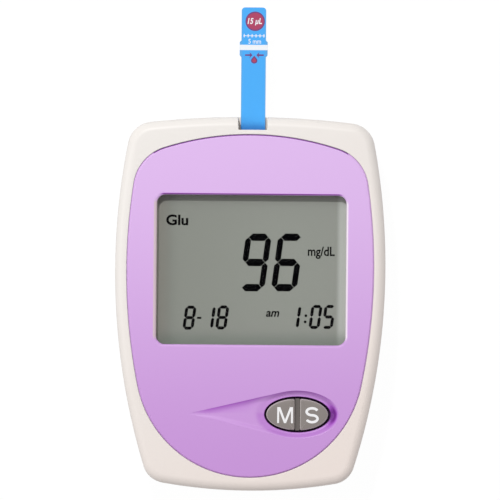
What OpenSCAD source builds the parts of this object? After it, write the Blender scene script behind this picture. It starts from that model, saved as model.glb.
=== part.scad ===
// Blood glucose meter with a test strip in its port, lying on its back.
// Millimetres: +X to the right, +Y towards the strip port, +Z out of the display.
// The origin is the middle of the flat back.

/* [Body] */
// Width of the body at its widest
body_w = 63.8; // [60:0.1:80]
// Length of the body from end to end
body_l = 88.2; // [86:0.1:110]
// Thickness of the body
body_t = 22; // [22:0.1:26]
// Radius of the bowed long sides
side_r = 157; // [120:1:300]
// How far the widest place lies above the middle
side_y = 8.2; // [0:0.1:10]
// Radius of the bowed top end
top_r = 210; // [120:1:400]
// Radius of the bowed bottom end
bottom_r = 120; // [90:1:300]
// Radius of the two top corners
top_corner_r = 6.1; // [5:0.1:9]
// Radius of the two bottom corners
bottom_corner_r = 5.6; // [5:0.1:9]
// Rounding of the front edge
front_round = 2.2; // [1:0.1:2.6]
// Rounding of the back edge
back_round = 3.2; // [1:0.1:4]
// Thickness of the housing walls
wall = 1.8; // [1.2:0.1:2.2]
// Height of the parting line between the two housings
parting_z = 11; // [9:0.1:12]
// Height of the lip that lines up the two housings
lip_h = 1.1; // [0.6:0.1:1.6]
// Bevel along the parting line on either side
parting_bevel = 0.2; // [0.1:0.05:0.3]
// Thickness of the ribs inside the housings
rib_t = 1; // [0.8:0.1:1.4]
// Height of the ribs on the back housing's floor
rib_h = 3; // [2:0.1:4]

/* [Faceplate] */
// Width of the coloured faceplate
face_w = 58; // [54:0.1:59]
// Length of the faceplate
face_l = 80.6; // [76:0.1:82]
// How far the middle of the faceplate lies above the middle of the body
face_y = -0.5; // [-1:0.1:1]
// Radius of the faceplate's long sides
face_side_r = 136; // [110:1:300]
// How far its widest place lies above its middle
face_side_y = 8.5; // [0:0.1:10]
// Radius of its top end
face_top_r = 66; // [50:1:120]
// Radius of its bottom end
face_bottom_r = 69; // [50:1:120]
// Radius of its top corners
face_top_corner_r = 10.2; // [8:0.1:14]
// Radius of its bottom corners
face_bottom_corner_r = 26.7; // [15:0.1:27]
// Thickness of the faceplate
face_t = 1.8; // [1.5:0.1:2]
// Thickness of the housing web behind the faceplate
web_t = 1.4; // [1:0.1:1.5]
// Chamfer of the faceplate's upper edge
face_chamfer = 0.25; // [0.1:0.05:0.4]
// Diameter of the pins that place the faceplate
pin_d = 1.6; // [1.2:0.1:2]
// Length of these pins
pin_l = 0.9; // [0.6:0.05:0.95]

/* [Display] */
// Width of the window at the front face
window_w = 45.9; // [36:0.1:46.5]
// Height of the window at the front face
window_l = 36.3; // [28:0.1:36.6]
// How far the middle of the window lies above the middle of the body
window_y = 8; // [7:0.05:8.2]
// Corner radius of the window
window_r = 2; // [1:0.1:4]
// Bevel round the window
window_bevel = 0.5; // [0.2:0.05:0.7]
// Thickness of the clear lens
lens_t = 0.85; // [0.6:0.05:1]
// How far the lens reaches behind the faceplate
lens_lap = 0.8; // [0.5:0.05:1.2]
// How far the display glass reaches past the window on each side
glass_lap = 1.7; // [1.5:0.1:1.9]
// Thickness of the display glass
glass_t = 1.9; // [1.5:0.1:2]
// Thickness of the display's front film
film_t = 0.2; // [0.1:0.05:0.3]
// Thickness of the foam frame that seals the display
gasket_t = 0.2; // [0.15:0.05:0.3]
// Thickness of the display holder's walls
holder_wall = 1; // [0.8:0.1:1.2]
// Width of the ledge that the display glass lies on, at the sides
ledge_w = 2.5; // [2:0.1:4]
// Width of that ledge at its upper end
ledge_high = 2.4; // [2:0.1:4]
// Width of that ledge at its lower end, where it holds the elastomer connector
ledge_low = 5.6; // [5:0.1:7]
// Diameter of the display holder's pegs
peg_d = 1.4; // [1:0.1:1.8]
// Width of the elastomer connector under the glass
elastomer_w = 2; // [1.5:0.1:2.4]

/* [Buttons] */
// Place of the middle of the oval key opening, to the right
keys_x = 11.4; // [10:0.1:12]
// Place of the middle of the oval key opening, upwards
keys_y = -26; // [-27:0.1:-25]
// Length of the oval opening
keys_l = 15.5; // [13:0.1:17]
// Height of the oval opening
keys_h = 8.3; // [7:0.1:9]
// Gap seen round the keys
key_gap = 0.38; // [0.25:0.01:0.5]
// Width of the groove between the two keys
groove_w = 1.2; // [1:0.1:1.6]
// Depth of that groove
groove_depth = 0.6; // [0.55:0.05:0.7]
// How far a key travels
key_travel = 0.5; // [0.3:0.05:0.5]
// How far the keys stand below the front face
key_sink = 0.05; // [0.05:0.05:0.3]
// Rounding of the keys' upper edge
key_round = 0.35; // [0.2:0.05:0.5]
// Width of the flange that keeps a key in
key_flange = 0.7; // [0.5:0.05:0.8]
// Length of the dish round the keys
dish_l = 19.7; // [18:0.1:21]
// Height of the dish
dish_h = 11.3; // [10:0.1:12]
// Distance from the keys' middle to the tip of the dish's tail
dish_tail = 25.9; // [22:0.1:27]
// Depth of the dish at its right end
dish_depth = 1.1; // [0.6:0.05:1.2]
// Slope of the dish's floor, which is deeper at its upper edge
dish_tilt = 2.5; // [0:0.1:3]
// Width of the dish's sloping wall
dish_wall = 1.3; // [0.8:0.1:1.5]
// Width of that wall at the right end
dish_end_wall = 1.9; // [0.8:0.1:2]
// Diameter of the plungers under the keys
plunger_d = 2.4; // [2:0.1:2.8]
// Width of the two tact switches
switch_w = 4.8; // [4.4:0.1:5.4]
// Height of the two tact switches
switch_h = 2.3; // [2:0.1:2.4]

/* [Test strip] */
// Width of the strip's lead
strip_w = 5.8; // [4.8:0.1:7]
// How far the strip's ears reach past it on each side
ear_lap = 0.4; // [0.2:0.1:1]
// Length of the ears
ear_l = 3.1; // [2:0.1:4]
// Distance from the strip's tip to its ears
ear_y = 8.2; // [6:0.1:10]
// Length of the strip
strip_l = 38.6; // [36:0.1:42]
// Length of strip inside the meter
strip_in = 9.6; // [8:0.1:10]
// Thickness of the strip's base
base_t = 0.3; // [0.2:0.05:0.35]
// Thickness of the strip's cover film
cover_t = 0.15; // [0.1:0.05:0.2]
// Corner radius of the strip's tip
tip_r = 0.8; // [0.4:0.1:2]
// How far the port lies to the right of the middle
port_x = 0.35; // [0:0.05:1]
// Gap between the strip and the notch on each side
notch_gap = 0.6; // [0.5:0.05:1.5]
// Depth of the notch
notch_depth = 3.05; // [2.5:0.05:3.4]
// How far the notch's floor lies below the strip
notch_drop = 1.2; // [0.4:0.1:1.3]
// Height of the strip above the board
strip_lift = 0.8; // [0.6:0.05:1]
// Distance between the connector's springs
contact_pitch = 1.7; // [1.6:0.05:2]

/* [Battery bay] */
// Diameter of a cell
cell_d = 10.5; // [8:0.1:10.6]
// Length of a cell with its nub
cell_l = 44.5; // [40:0.1:46]
// Room for the springs at one end of each cell
spring_room = 3.2; // [2.5:0.1:4]
// Middle of the bay along the meter
bay_y = -13; // [-14:0.1:-10]
// Thickness of the bay's walls
bay_wall = 1.2; // [0.8:0.1:1.6]
// Thickness of the bay's roof
roof_t = 1; // [0.8:0.1:1.2]
// Thickness of the battery door
door_t = 1.6; // [1.4:0.1:1.8]
// How far the door reaches past the bay on each side
door_lap = 2.4; // [1.8:0.1:3]
// Width of the tongues on the door's long edges
tongue = 0.9; // [0.6:0.1:1.2]
// Width of the ridge between the two cells
ridge_w = 5; // [3:0.1:6]
// Wire diameter of the battery springs
spring_wire = 0.5; // [0.4:0.05:0.6]
// Turns of each battery spring
spring_turns = 3; // [2:1:4]
// Number of grip grooves on the door
grip_grooves = 6; // [3:1:8]

/* [Circuit board] */
// Thickness of the board
board_t = 1; // [0.8:0.1:1.2]
// Gap between the board's edge and the outside of the body
board_inset = 3; // [2.6:0.1:3.6]
// Diameter of the screw pillars
pillar_d = 5.6; // [5:0.1:6]
// Diameter of the case screws' shanks
case_screw_d = 1.9; // [1.6:0.1:2.2]
// Diameter of the case screws' heads
case_head_d = 3.7; // [3:0.1:3.8]
// Depth at which the case screws' heads bear
case_head_z = 3; // [2.5:0.1:4]
// Diameter of the board screws' shanks
board_screw_d = 1.4; // [1.2:0.1:1.6]
// Diameter of the board screws' heads
board_head_d = 3; // [2.4:0.1:3.2]
// Diameter of the posts that carry the board
post_d = 4.4; // [3.6:0.1:4.8]
// Diameter of the buzzer
buzzer_d = 12; // [9:0.5:13]
// Side of the controller chip
chip_w = 10; // [7:0.5:11]

/* [Fits] */
// Gap between the faceplate and the housing round it
seam = 0.2; // [0.15:0.05:0.4]
// Clearance of fixed pieces in their seats
slack = 0.15; // [0.1:0.05:0.2]
// Running clearance of sliding pieces
run = 0.2; // [0.15:0.05:0.3]
// Clearance round a screw's shank in its pilot hole
pilot = 0.05; // [0.02:0.01:0.1]

/* [Hidden] */

$fn = 48;
over = 1;                    // how far a cutter reaches past the face that it opens
side_steps = 16;             // flats along each long arc of an outline
corner_steps = 8;            // flats round each corner of an outline
round_step = 22.5;           // degrees between the rings of a rounded edge
oval_steps = 40;             // flats round an oval

// Levels, from the back to the front
cell_z = door_t + run + cell_d / 2;
roof_z = door_t + 2 * run + cell_d;
board_z = roof_z + roof_t + slack;
board_top = board_z + board_t;
face_z = body_t - face_t;
web_z = face_z - web_t;
film_top = web_z - gasket_t;
glass_z = film_top - film_t - glass_t;
strip_z = board_top + strip_lift;
strip_top = strip_z + base_t + cover_t;

// Outlines: width, length, side radius and height, end radii, corner radii
body = [body_w, body_l, side_r, side_y, top_r, bottom_r, top_corner_r, bottom_corner_r];
face = [face_w, face_l, face_side_r, face_side_y, face_top_r, face_bottom_r,
    face_top_corner_r, face_bottom_corner_r];

// Display pieces
glass_w = window_w + 2 * glass_lap;
glass_l = window_l + 2 * glass_lap;
holder_w = glass_w + 2 * (slack + holder_wall);
holder_l = glass_l + 2 * (slack + holder_wall);
holder_in = glass_w / 2 - ledge_w;       // half the width between the ledges
web_gap = 0.3;                           // how far the web stays back from the window
gasket_back = 0.1;                       // how far the gasket stays back from the web
elastomer_y = window_y - glass_l / 2 + 2.6;
elastomer_l = glass_w - 7;
lead_reach = 1.3;                        // how far a chip's leads stand out
lead_t = 0.15;
pegs = [
    for (x = [-1, 1], y = [-1, 1])
        [x * (holder_w / 2 - peg_d), window_y + y * (holder_l / 2 - peg_d)]];

// Battery bay
bay_w = 2 * cell_d + 3 * run;
plate_t = 0.3;
bay_l = cell_l + spring_room + 2 * plate_t;
bay_low = bay_y - bay_l / 2;
bay_high = bay_y + bay_l / 2;
cell_x = (cell_d + run) / 2;
door_w = bay_w + 2 * door_lap;
door_high = bay_high + door_lap;
bed_t = door_t + run + 1.2;   // floor of the back housing round the door
tongue_z = door_t / 2;
floor_z = wall - 0.2;                    // foot of the ribs, sunk into the floor
rib_ys = [bay_low + 9, bay_y, bay_high - 9];
ridge_end = 2 + spring_room;              // the ridge stops this far from the bay's ends

// Battery springs: conical coils, wide at the foot
spring_foot = cell_d * 0.33;
spring_tip = cell_d * 0.2;
spring_rings = 8 * spring_turns;
spring_rise = spring_room - spring_wire;

// Strip port
notch_w = strip_w + 2 * notch_gap;
notch_flare = 0.1;                       // how much wider the notch gets outwards, a side
notch_z = strip_z - notch_drop;
port_y = body_l / 2 - notch_depth;
port_block_w = notch_w + 4;
port_block_l = 2;
sill_y = port_y - 0.8;                   // inner face of the sill under the notch
sill_z = parting_z + lip_h + 2 * slack;
strip_end = port_y - strip_in;
strip_tip = strip_end + strip_l;
slot_w = strip_w + 2 * run;
ear_w = strip_w + 2 * ear_lap;
connector_w = slot_w + 5;
connector_h = 3.4;
connector_high = port_y - port_block_l - slack;
connector_low = strip_end - 1.8;
lead_in = 0.6;                           // length and height of the connector's flared mouth
contact_xs = [for (i = [-1 : 1]) port_x + i * contact_pitch];
contact_w = 0.7;
electrode_w = 1.2;

// Keys
key_a = keys_l / 2 - key_gap;
key_b = keys_h / 2 - key_gap;
key_top = body_t - key_sink;
mat_z = web_z + slack;
mat_top = face_z - slack;
mat_lap = 1;
flange_top = mat_z - run;
flange_z = flange_top - 0.5;
key_xs = [keys_x - key_a / 2 - groove_w / 8, keys_x + key_a / 2 + groove_w / 8];
switch_bore = plunger_d / 2 + run / 2;
plunger_z = board_top + 0.6 + key_travel;

// Colours
cream = [0.94, 0.91, 0.88];
purple = [0.84, 0.69, 0.90];
key_grey = [0.55, 0.52, 0.51];
strip_blue = [0.31, 0.70, 1.00];
board_green = [0.10, 0.35, 0.20];
dark = [0.12, 0.12, 0.13];
steel = [0.75, 0.76, 0.78];
gold = [0.85, 0.68, 0.30];

// ---------------------------------------------------------------- outlines

function polar(c, r, a) = c + r * [cos(a), sin(a)];
function heading(p, q) = atan2(q[1] - p[1], q[0] - p[0]);
function turn(a, b) = (b - a + 720) % 360;

// Centre of a circle of radius r that touches circles a and b from inside.
// Each circle is [centre, radius].
function touch(a, b, r) =
    let (d = b[0] - a[0], n = norm(d), p = a[1] - r, q = b[1] - r)
    let (t = (p * p - q * q + n * n) / (2 * n), h = sqrt(p * p - t * t), u = d / n)
    a[0] + t * u - h * [u[1], -u[0]];

// The four long arcs of an outline, anticlockwise from the right side
function arcs(s) = [
    [[s[0] / 2 - s[2], s[3]], s[2]],
    [[0, s[1] / 2 - s[4]], s[4]],
    [[s[2] - s[0] / 2, s[3]], s[2]],
    [[0, s[5] - s[1] / 2], s[5]]];
function corner_r(s, i) = i < 2 ? s[6] : s[7];
function corner(s, i) = touch(arcs(s)[i], arcs(s)[(i + 1) % 4], corner_r(s, i));

// Side i and the corner after it, drawn in by d
function stretch(s, i, d) =
    let (a = arcs(s)[i], c = corner(s, i), a0 = heading(a[0], corner(s, (i + 3) % 4)))
    let (a1 = heading(a[0], c), b1 = heading(arcs(s)[(i + 1) % 4][0], c)) [
        for (j = [0 : side_steps])
            polar(a[0], a[1] - d, a0 + turn(a0, a1) * j / side_steps),
        for (j = [1 : corner_steps - 1])
            polar(c, corner_r(s, i) - d, a1 + turn(a1, b1) * j / corner_steps)];
function outline(s, d = 0) = [for (i = [0 : 3]) each stretch(s, i, d)];
function ring(s, d, z) = [for (p = outline(s, d)) [p[0], p[1], z]];

// Places of the four screw pillars, inwards from the centres of the body's corners
top_in = [0.6, 3.6];
bottom_in = [2.6, 3];
pillars = [
    corner(body, 0) - top_in,
    corner(body, 1) + [top_in[0], -top_in[1]],
    corner(body, 2) + bottom_in,
    corner(body, 3) + [-bottom_in[0], bottom_in[1]]];

// Places of the four board posts: two beside the connector, two below the display
post_gap = 10;
post_y = port_y - 6.5;
posts = [
    [port_x + connector_w / 2 + post_gap, post_y],
    [port_x - connector_w / 2 - post_gap, post_y],
    [-bay_w / 2 - bay_wall - 4, keys_y + 2],
    [keys_x + 9.5, window_y - holder_l / 2 - 4]];

// Places of the faceplate's four pins
pins = [
    for (x = [-1, 1]) each [
        [x * (face_w / 2 - 2.8), face_y + 20.5],
        [x * (face_w / 2 - 5.5), face_y - 20]]];

// ---------------------------------------------------------------- helpers

// A solid skinned over rings that have the same number of points
module loft(rings) {
    n = len(rings[0]);
    m = len(rings);
    polyhedron(
        points = [for (r = rings) each r],
        faces = [
            [for (j = [0 : n - 1]) j],
            for (i = [0 : m - 2], j = [0 : n - 1])
                let (k = (j + 1) % n) [i * n + j, (i + 1) * n + j, (i + 1) * n + k, i * n + k],
            [for (j = [n - 1 : -1 : 0]) (m - 1) * n + j]]);
}

// A prism of the outline s drawn in by d, from z0 to z1
module prism(s, d, z0, z1) {
    translate([0, 0, z0]) linear_extrude(z1 - z0) polygon(outline(s, d));
}

// A box centred on x and y, from z0 to z1
module block(x, y, w, l, z0, z1) {
    translate([x - w / 2, y - l / 2, z0]) cube([w, l, z1 - z0]);
}

// A rectangle with round corners
module soft_square(w, l, r) {
    square([w - 2 * r, l], center = true);
    square([w, l - 2 * r], center = true);
    for (x = [-1, 1], y = [-1, 1])
        translate([x * (w / 2 - r), y * (l / 2 - r)]) circle(r);
}

// A round rod or bore from z0 to z1
module rod(p, d, z0, z1) {
    translate([p[0], p[1], z0]) cylinder(d = d, h = z1 - z0);
}

// An upright oval prism round the middle of the keys
module oval(a, b, z0, z1) {
    translate([keys_x, keys_y, z0]) linear_extrude(z1 - z0) polygon([
        for (j = [0 : oval_steps - 1]) let (t = 360 * j / oval_steps) [a * cos(t), b * sin(t)]]);
}

// ---------------------------------------------------------------- housings

// Front housing: a shell that is open at the back, with a sunk bed for the
// faceplate, the window, the key opening, the port and the pillars inside.
module front_housing() {
    screw_end = web_z - 1;
    color(cream) difference() {
        union() {
            difference() {
                loft([
                    ring(body, parting_bevel, parting_z),
                    ring(body, 0, parting_z + parting_bevel),
                    for (a = [0 : round_step : 90])
                        ring(body, front_round * (1 - cos(a)), body_t - front_round * (1 - sin(a)))]);
                prism(body, wall, parting_z - over, web_z);
                prism(body, wall / 2, parting_z - over, parting_z + lip_h + slack);
            }
            for (p = pillars) rod(p, pillar_d, parting_z, web_z + web_t / 2);
            for (p = posts) rod(p, post_d, board_top, web_z + web_t / 2);
            gussets(sill_z, web_z + web_t / 2);
            port_frame();
            holder_stops();
        }
        translate([0, face_y, 0]) prism(face, -seam, face_z, body_t + over);
        translate([0, window_y, web_z - over]) linear_extrude(web_t + 2 * over)
            soft_square(window_w + 2 * web_gap, window_l + 2 * web_gap, window_r);
        oval(keys_l / 2 + mat_lap + slack, keys_h / 2 + mat_lap + slack, web_z - over, face_z + over);
        port();
        for (p = pillars) rod(p, case_screw_d + 2 * pilot, parting_z - over, screw_end);
        for (p = posts) rod(p, board_screw_d + 2 * pilot, board_top - over, screw_end);
        for (p = pins) rod(p, pin_d + 2 * slack, face_z - pin_l - slack, face_z + over);
    }
}

// Ribs that tie each screw pillar to the side wall next to it
module gussets(z0, z1) {
    intersection() {
        prism(body, wall / 2, z0, z1);
        for (p = pillars) block(p[0] + sign(p[0]) * body_w / 4, p[1], body_w / 2, rib_t, z0, z1);
    }
}

// Ribs inside the front housing that stand against the display holder
module holder_stops() {
    for (x = [-1, 1], y = [-0.3, 0.3])
        block(x * (holder_w / 2 + slack + rib_t / 2), window_y + y * holder_l, rib_t, 4,
            board_top + slack, web_z + web_t / 2);
}

// Solid block behind the notch, over the board, and the sill under the notch,
// which goes down past the board's end to the lip of the back housing
module port_frame() {
    l = wall + notch_depth;
    sill_l = body_l / 2 - wall / 2 - sill_y;
    block(port_x, port_y - port_block_l + l / 2, port_block_w, l, board_top + slack, face_z);
    block(port_x, sill_y + sill_l / 2, port_block_w, sill_l, sill_z, strip_z);
}

// The open notch in the top end and the slot that leads inside
module port() {
    w = notch_w / 2 - notch_flare;
    translate([port_x, 0, notch_z]) linear_extrude(body_t) polygon([
        [-w, port_y], [w, port_y],
        [w + 2 * notch_flare, body_l / 2 + over], [-w - 2 * notch_flare, body_l / 2 + over]]);
    block(port_x, port_y - port_block_l / 2, slot_w, port_block_l + 2 * over,
        strip_z - run, strip_top + 2 * run);
}

// Back housing: the other shell, with the door's bed, the battery bay and
// the pillars that take the case screws.
module back_housing() {
    color(cream) difference() {
        union() {
            difference() {
                back_form();
                prism(body, wall, wall, parting_z + over);
            }
            difference() {
                prism(body, wall / 2 + slack, parting_z - over, parting_z + lip_h);
                prism(body, wall, parting_z - 2 * over, parting_z + 2 * over);
            }
            intersection() {
                prism(body, wall / 2, wall / 2, bed_t);
                door_prism(tongue + bay_wall, wall / 2, bed_t, bay_wall);
            }
            block(0, bay_y, bay_w + 2 * bay_wall, bay_l + 2 * bay_wall, bed_t - 0.5, roof_z + roof_t);
            for (p = pillars) rod(p, pillar_d, wall / 2, parting_z);
            gussets(floor_z, parting_z - slack);
            floor_ribs();
        }
        door_prism(run, -over, tongue_z - slack, run);
        door_prism(tongue + run, tongue_z - slack, door_t + run, run);
        difference() {
            block(0, bay_y, bay_w, bay_l, 0, roof_z);
            ridge();
        }
        for (x = [-1, 1], y = [-1, 1]) contact_tab(x, y, slack);
        for (p = pillars) rod(p, case_screw_d + 2 * run, 0, parting_z + over);
        for (p = pillars) rod(p, case_head_d + 2 * run, -over, case_head_z);
    }
}

// Ribs across the floor, from the bay to the side walls
module floor_ribs() {
    intersection() {
        prism(body, wall / 2, floor_z, wall + rib_h);
        for (y = rib_ys) block(0, y, body_w, rib_t, floor_z, wall + rib_h);
    }
}

// Ridge along the bay's roof, hollowed on both sides to follow the cells
module ridge() {
    l = bay_l - 2 * ridge_end;
    difference() {
        block(0, bay_y, ridge_w, l, cell_z + cell_d / 4, roof_z + over);
        for (x = [-cell_x, cell_x])
            translate([x, bay_y, cell_z]) rotate([90, 0, 0])
                cylinder(r = cell_d / 2 + 2 * run, h = l + 2 * over, center = true);
    }
}

// Outer form of the back half
module back_form() {
    loft([
        for (a = [90 : -round_step : 0])
            ring(body, back_round * (1 - cos(a)), back_round * (1 - sin(a))),
        ring(body, 0, parting_z - parting_bevel),
        ring(body, parting_bevel, parting_z)]);
}

// The door's outline grown by g sideways and by e at its inner end; it runs
// out past the bottom end of the meter.
module door_prism(g, z0, z1, e) {
    translate([-door_w / 2 - g, -body_l / 2 - over, z0])
        cube([door_w + 2 * g, door_high + body_l / 2 + over + e, z1 - z0]);
}

// Battery door: it slides off the bottom end on two tongues.
module battery_door() {
    groove_r = 0.6;
    groove_pitch = 2.2;
    color(cream) difference() {
        intersection() {
            back_form();
            union() {
                door_prism(0, 0, door_t, 0);
                door_prism(tongue, tongue_z, door_t, 0);
            }
        }
        for (i = [0 : grip_grooves - 1])
            translate([0, bay_low + 1 + groove_pitch * i, -groove_r * 0.45]) rotate([0, 90, 0])
                cylinder(r = groove_r, h = door_w / 2, center = true);
    }
}

// ---------------------------------------------------------------- faceplate

// Faceplate: one moulded plate with the bevelled window, the lens seat, the
// oval key opening and the dish whose floor rises to the tip of its tail. Four
// pins place it in the housing.
module faceplate() {
    color(purple) {
        difference() {
            translate([0, face_y, 0]) loft([
                ring(face, 0, face_z),
                ring(face, 0, body_t - face_chamfer),
                ring(face, face_chamfer, body_t)]);
            translate([0, window_y, 0]) window_cut();
            oval(keys_l / 2, keys_h / 2, face_z - over, body_t + over);
            loft([dish_ring(dish_end_wall, dish_wall, 0), dish_ring(0, 0, 1)]);
        }
        for (p = pins) rod(p, pin_d, face_z - pin_l, face_z + face_t / 4);
    }
}

module window_cut() {
    w = window_w - 2 * window_bevel;
    l = window_l - 2 * window_bevel;
    translate([0, 0, face_z - over]) linear_extrude(face_t + 2 * over) soft_square(w, l, window_r);
    hull() {
        translate([0, 0, body_t - window_bevel]) linear_extrude(0.01) soft_square(w, l, window_r, $fn = 32);
        translate([0, 0, body_t]) linear_extrude(0.01)
            soft_square(window_w, window_l, window_r + window_bevel, $fn = 32);
    }
    translate([0, 0, face_z - over]) linear_extrude(lens_t + slack / 3 + over)
        soft_square(window_w + 2 * lens_lap + 2 * slack, window_l + 2 * lens_lap + 2 * slack, window_r);
}

// One ring of the dish cutter: an oval drawn out to a tip, smaller by c at its
// ends and by d at its sides. The lower ring (k = 0) lies on the slope of the
// floor, the upper one above it.
function dish_ring(c, d, k) =
    let (a = dish_l / 2 - c, b = dish_h / 2 - d, t = acos(-a / dish_tail)) [
        for (j = [0 : oval_steps])
            let (s = t * (2 * j / oval_steps - 1), x = a * cos(s), y = b * sin(s))
            [keys_x + x, keys_y + y, dish_floor(x, y, k)],
        [keys_x - dish_tail, keys_y, dish_floor(-dish_tail, 0, k)]];
function dish_floor(x, y, k) =
    k == 1 ? body_t + 0.05
    : body_t - dish_depth * (x + dish_tail) / (dish_l / 2 + dish_tail) - y * tan(dish_tilt);

// ---------------------------------------------------------------- display

module display_lens() {
    color([0.85, 0.9, 0.9, 0.35]) translate([0, window_y, face_z]) linear_extrude(lens_t)
        soft_square(window_w + 2 * lens_lap, window_l + 2 * lens_lap, window_r);
}

module display_gasket() {
    color(dark) translate([0, window_y, film_top]) linear_extrude(gasket_t) difference() {
        soft_square(glass_w - 2 * slack, glass_l - 2 * slack, 1);
        soft_square(window_w + 2 * (web_gap + gasket_back), window_l + 2 * (web_gap + gasket_back), window_r);
    }
}

module lcd_film() {
    color([0.55, 0.57, 0.53]) block(0, window_y, glass_w - 1, glass_l - 1, film_top - film_t, film_top);
}

// The display's glass cell: a front and a back plate, the back one reaching
// further down, over the elastomer connector.
module lcd_glass() {
    color([0.6, 0.63, 0.58]) {
        block(0, window_y, glass_w, glass_l, glass_z, glass_z + glass_t / 2);
        block(0, window_y + 1, glass_w, glass_l - 2, glass_z + glass_t / 2, glass_z + glass_t);
    }
}

// Holder: an open frame on the board that seats the glass on a ledge and
// traps the elastomer connector; four pegs go into the board.
module lcd_holder() {
    color([0.9, 0.9, 0.9]) difference() {
        union() {
            block(0, window_y, holder_w, holder_l, board_top, film_top - film_t / 2);
            for (p = pegs) rod(p, peg_d, board_z + slack, board_top + slack);
        }
        block(0, window_y, glass_w + 2 * slack, glass_l + 2 * slack, glass_z, body_t);
        block(0, window_y + (ledge_low - ledge_high) / 2, 2 * holder_in, glass_l - ledge_low - ledge_high,
            0, body_t);
        elastomer(slack / 2, over);
    }
}

// The elastomer connector grown by g sideways and by e up and down
module elastomer(g, e) {
    block(0, elastomer_y, elastomer_l + 2 * g, elastomer_w + 2 * g, board_top - e, glass_z + e);
}

module elastomer_strip() {
    color([0.45, 0.2, 0.25]) elastomer(0, 0);
}

// ---------------------------------------------------------------- circuit board

// Board: it fills the body, cut out round the pillars with their ribs and
// round the sill of the port.
module main_board() {
    z0 = board_z - over;
    z1 = board_top + over;
    color(board_green) difference() {
        prism(body, board_inset, board_z, board_top);
        for (p = pillars) {
            rod(p, pillar_d + 4 * run, z0, z1);
            block(p[0] + sign(p[0]) * pillar_d, p[1], 2 * pillar_d, pillar_d, z0, z1);
        }
        block(port_x, sill_y - run + notch_depth, port_block_w + 2 * run, 2 * notch_depth, z0, z1);
        for (p = posts) rod(p, board_screw_d + 2 * run, z0, z1);
        for (p = pegs) rod(p, peg_d + 2 * slack, z0, z1);
        for (x = [-1, 1], y = [-1, 1]) contact_tab(x, y, slack);
    }
}

// A flat chip of w by l by h with rows of bent leads on its sides
module chip(p, w, l, h, leads, pitch) {
    translate([p[0], p[1], board_top]) {
        color(dark) translate([-w / 2, -l / 2, 0.1]) cube([w, l, h - 0.1]);
        color(steel) for (s = [0, 180], i = [0 : leads - 1]) rotate([0, 0, s])
            translate([w / 2, (i - (leads - 1) / 2) * pitch, 0]) rotate([90, 0, 0])
                linear_extrude(pitch * 0.45, center = true) polygon([
                    [0, h * 0.4], [0.7, h * 0.4], [0.7, lead_t], [lead_reach, lead_t],
                    [lead_reach, 0], [0.5, 0], [0.5, h * 0.25], [0, h * 0.25]]);
    }
}

// The controller lies next to the display holder's left ledge, and above the
// link contact's tab where a narrow holder leaves no room beside it
module controller_chip() {
    half = chip_w / 2 + lead_reach;
    x = holder_in - half - 0.85;
    beside = x - half > cell_x + 1 + run;
    y = beside ? window_y + 2 : bay_high + run + chip_w / 2;
    chip([-x, y], chip_w, chip_w, 1.4, 12, chip_w / 12.5);
}

module amplifier_chip() { chip([12, window_y + 9], 3.9, 4.9, 1.3, 4, 1.27); }

module crystal() {
    w = 2.6;
    color(steel) translate([-5, window_y - holder_l / 2 - 4, board_top]) linear_extrude(w)
        soft_square(7, w, 1.2);
}

// A row of capacitors that ends next to the holder's right ledge
module capacitors() {
    w = 1.2;
    pitch = 2.6;
    color([0.75, 0.6, 0.4]) for (i = [0 : 4])
        block(holder_in - 3.75 - pitch * i, window_y - 4, w, 2, board_top, board_top + 0.9);
}

module buzzer() {
    r = buzzer_d / 2;
    h = 3.2;
    rim = 0.4;
    sound_r = 1;
    color(dark) translate([-7, keys_y - 3.5, board_top]) rotate_extrude() polygon([
        [sound_r, 0], [r, 0], [r, h - rim], [r - rim, h], [sound_r, h]]);
}

// ---------------------------------------------------------------- keys

// Outline of one key on side s (-1 left, 1 right): part of the oval, grown by
// g outwards and by k towards the groove
function key_ring(s, g, k, z) =
    let (a = key_a + g, b = key_b + g, e = groove_w / 2 - k, t = acos(e / a)) [
        for (j = [0 : oval_steps / 2]) let (u = t * (4 * j / oval_steps - 1))
            [keys_x + s * a * cos(u), keys_y + s * b * sin(u), z]];
module key_prism(s, g, k, z0, z1) {
    translate([0, 0, z0]) linear_extrude(z1 - z0) polygon([for (p = key_ring(s, g, k, 0)) [p[0], p[1]]]);
}
module key(s) {
    color(key_grey) {
        key_prism(s, key_flange, 0, flange_z, flange_top);
        loft([
            key_ring(s, 0, 0, flange_z + 0.1),
            key_ring(s, 0, 0, key_top - key_round),
            key_ring(s, -key_round * 0.3, -key_round * 0.3, key_top - key_round * 0.3),
            key_ring(s, -key_round, -key_round, key_top)]);
    }
}

module memory_button() { key(-1); }

module set_button() { key(1); }

// Rubber mat between the web and the faceplate; its bar fills the groove.
module keypad_mat() {
    color(key_grey * 0.85) {
        difference() {
            oval(keys_l / 2 + mat_lap, keys_h / 2 + mat_lap, mat_z, mat_top);
            for (s = [-1, 1]) key_prism(s, run, slack / 2, mat_z - over, mat_top + over);
        }
        intersection() {
            block(keys_x, keys_y, groove_w - slack, keys_h, mat_z, key_top - groove_depth);
            oval(key_a, key_b, mat_z, body_t);
        }
    }
}

module plunger(x) {
    color([0.85, 0.85, 0.82]) rod([x, keys_y], plunger_d, plunger_z, flange_z);
}

module memory_plunger() { plunger(key_xs[0]); }

module set_plunger() { plunger(key_xs[1]); }

// Tact switch: a square body with a bore for its plunger, and four legs
module tact_switch(x) {
    color(dark) difference() {
        block(x, keys_y, switch_w, switch_w, board_top, board_top + switch_h);
        rod([x, keys_y], 2 * switch_bore, board_top + 0.5, board_top + switch_h + over);
    }
    color(steel) for (sx = [-1, 1], sy = [-1, 1])
        block(x + sx * switch_w * 0.3, keys_y + sy * (switch_w / 2 + 0.4), 0.8, 0.8,
            board_top, board_top + 0.3);
}

module memory_switch() { tact_switch(key_xs[0]); }

module set_switch() { tact_switch(key_xs[1]); }

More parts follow.
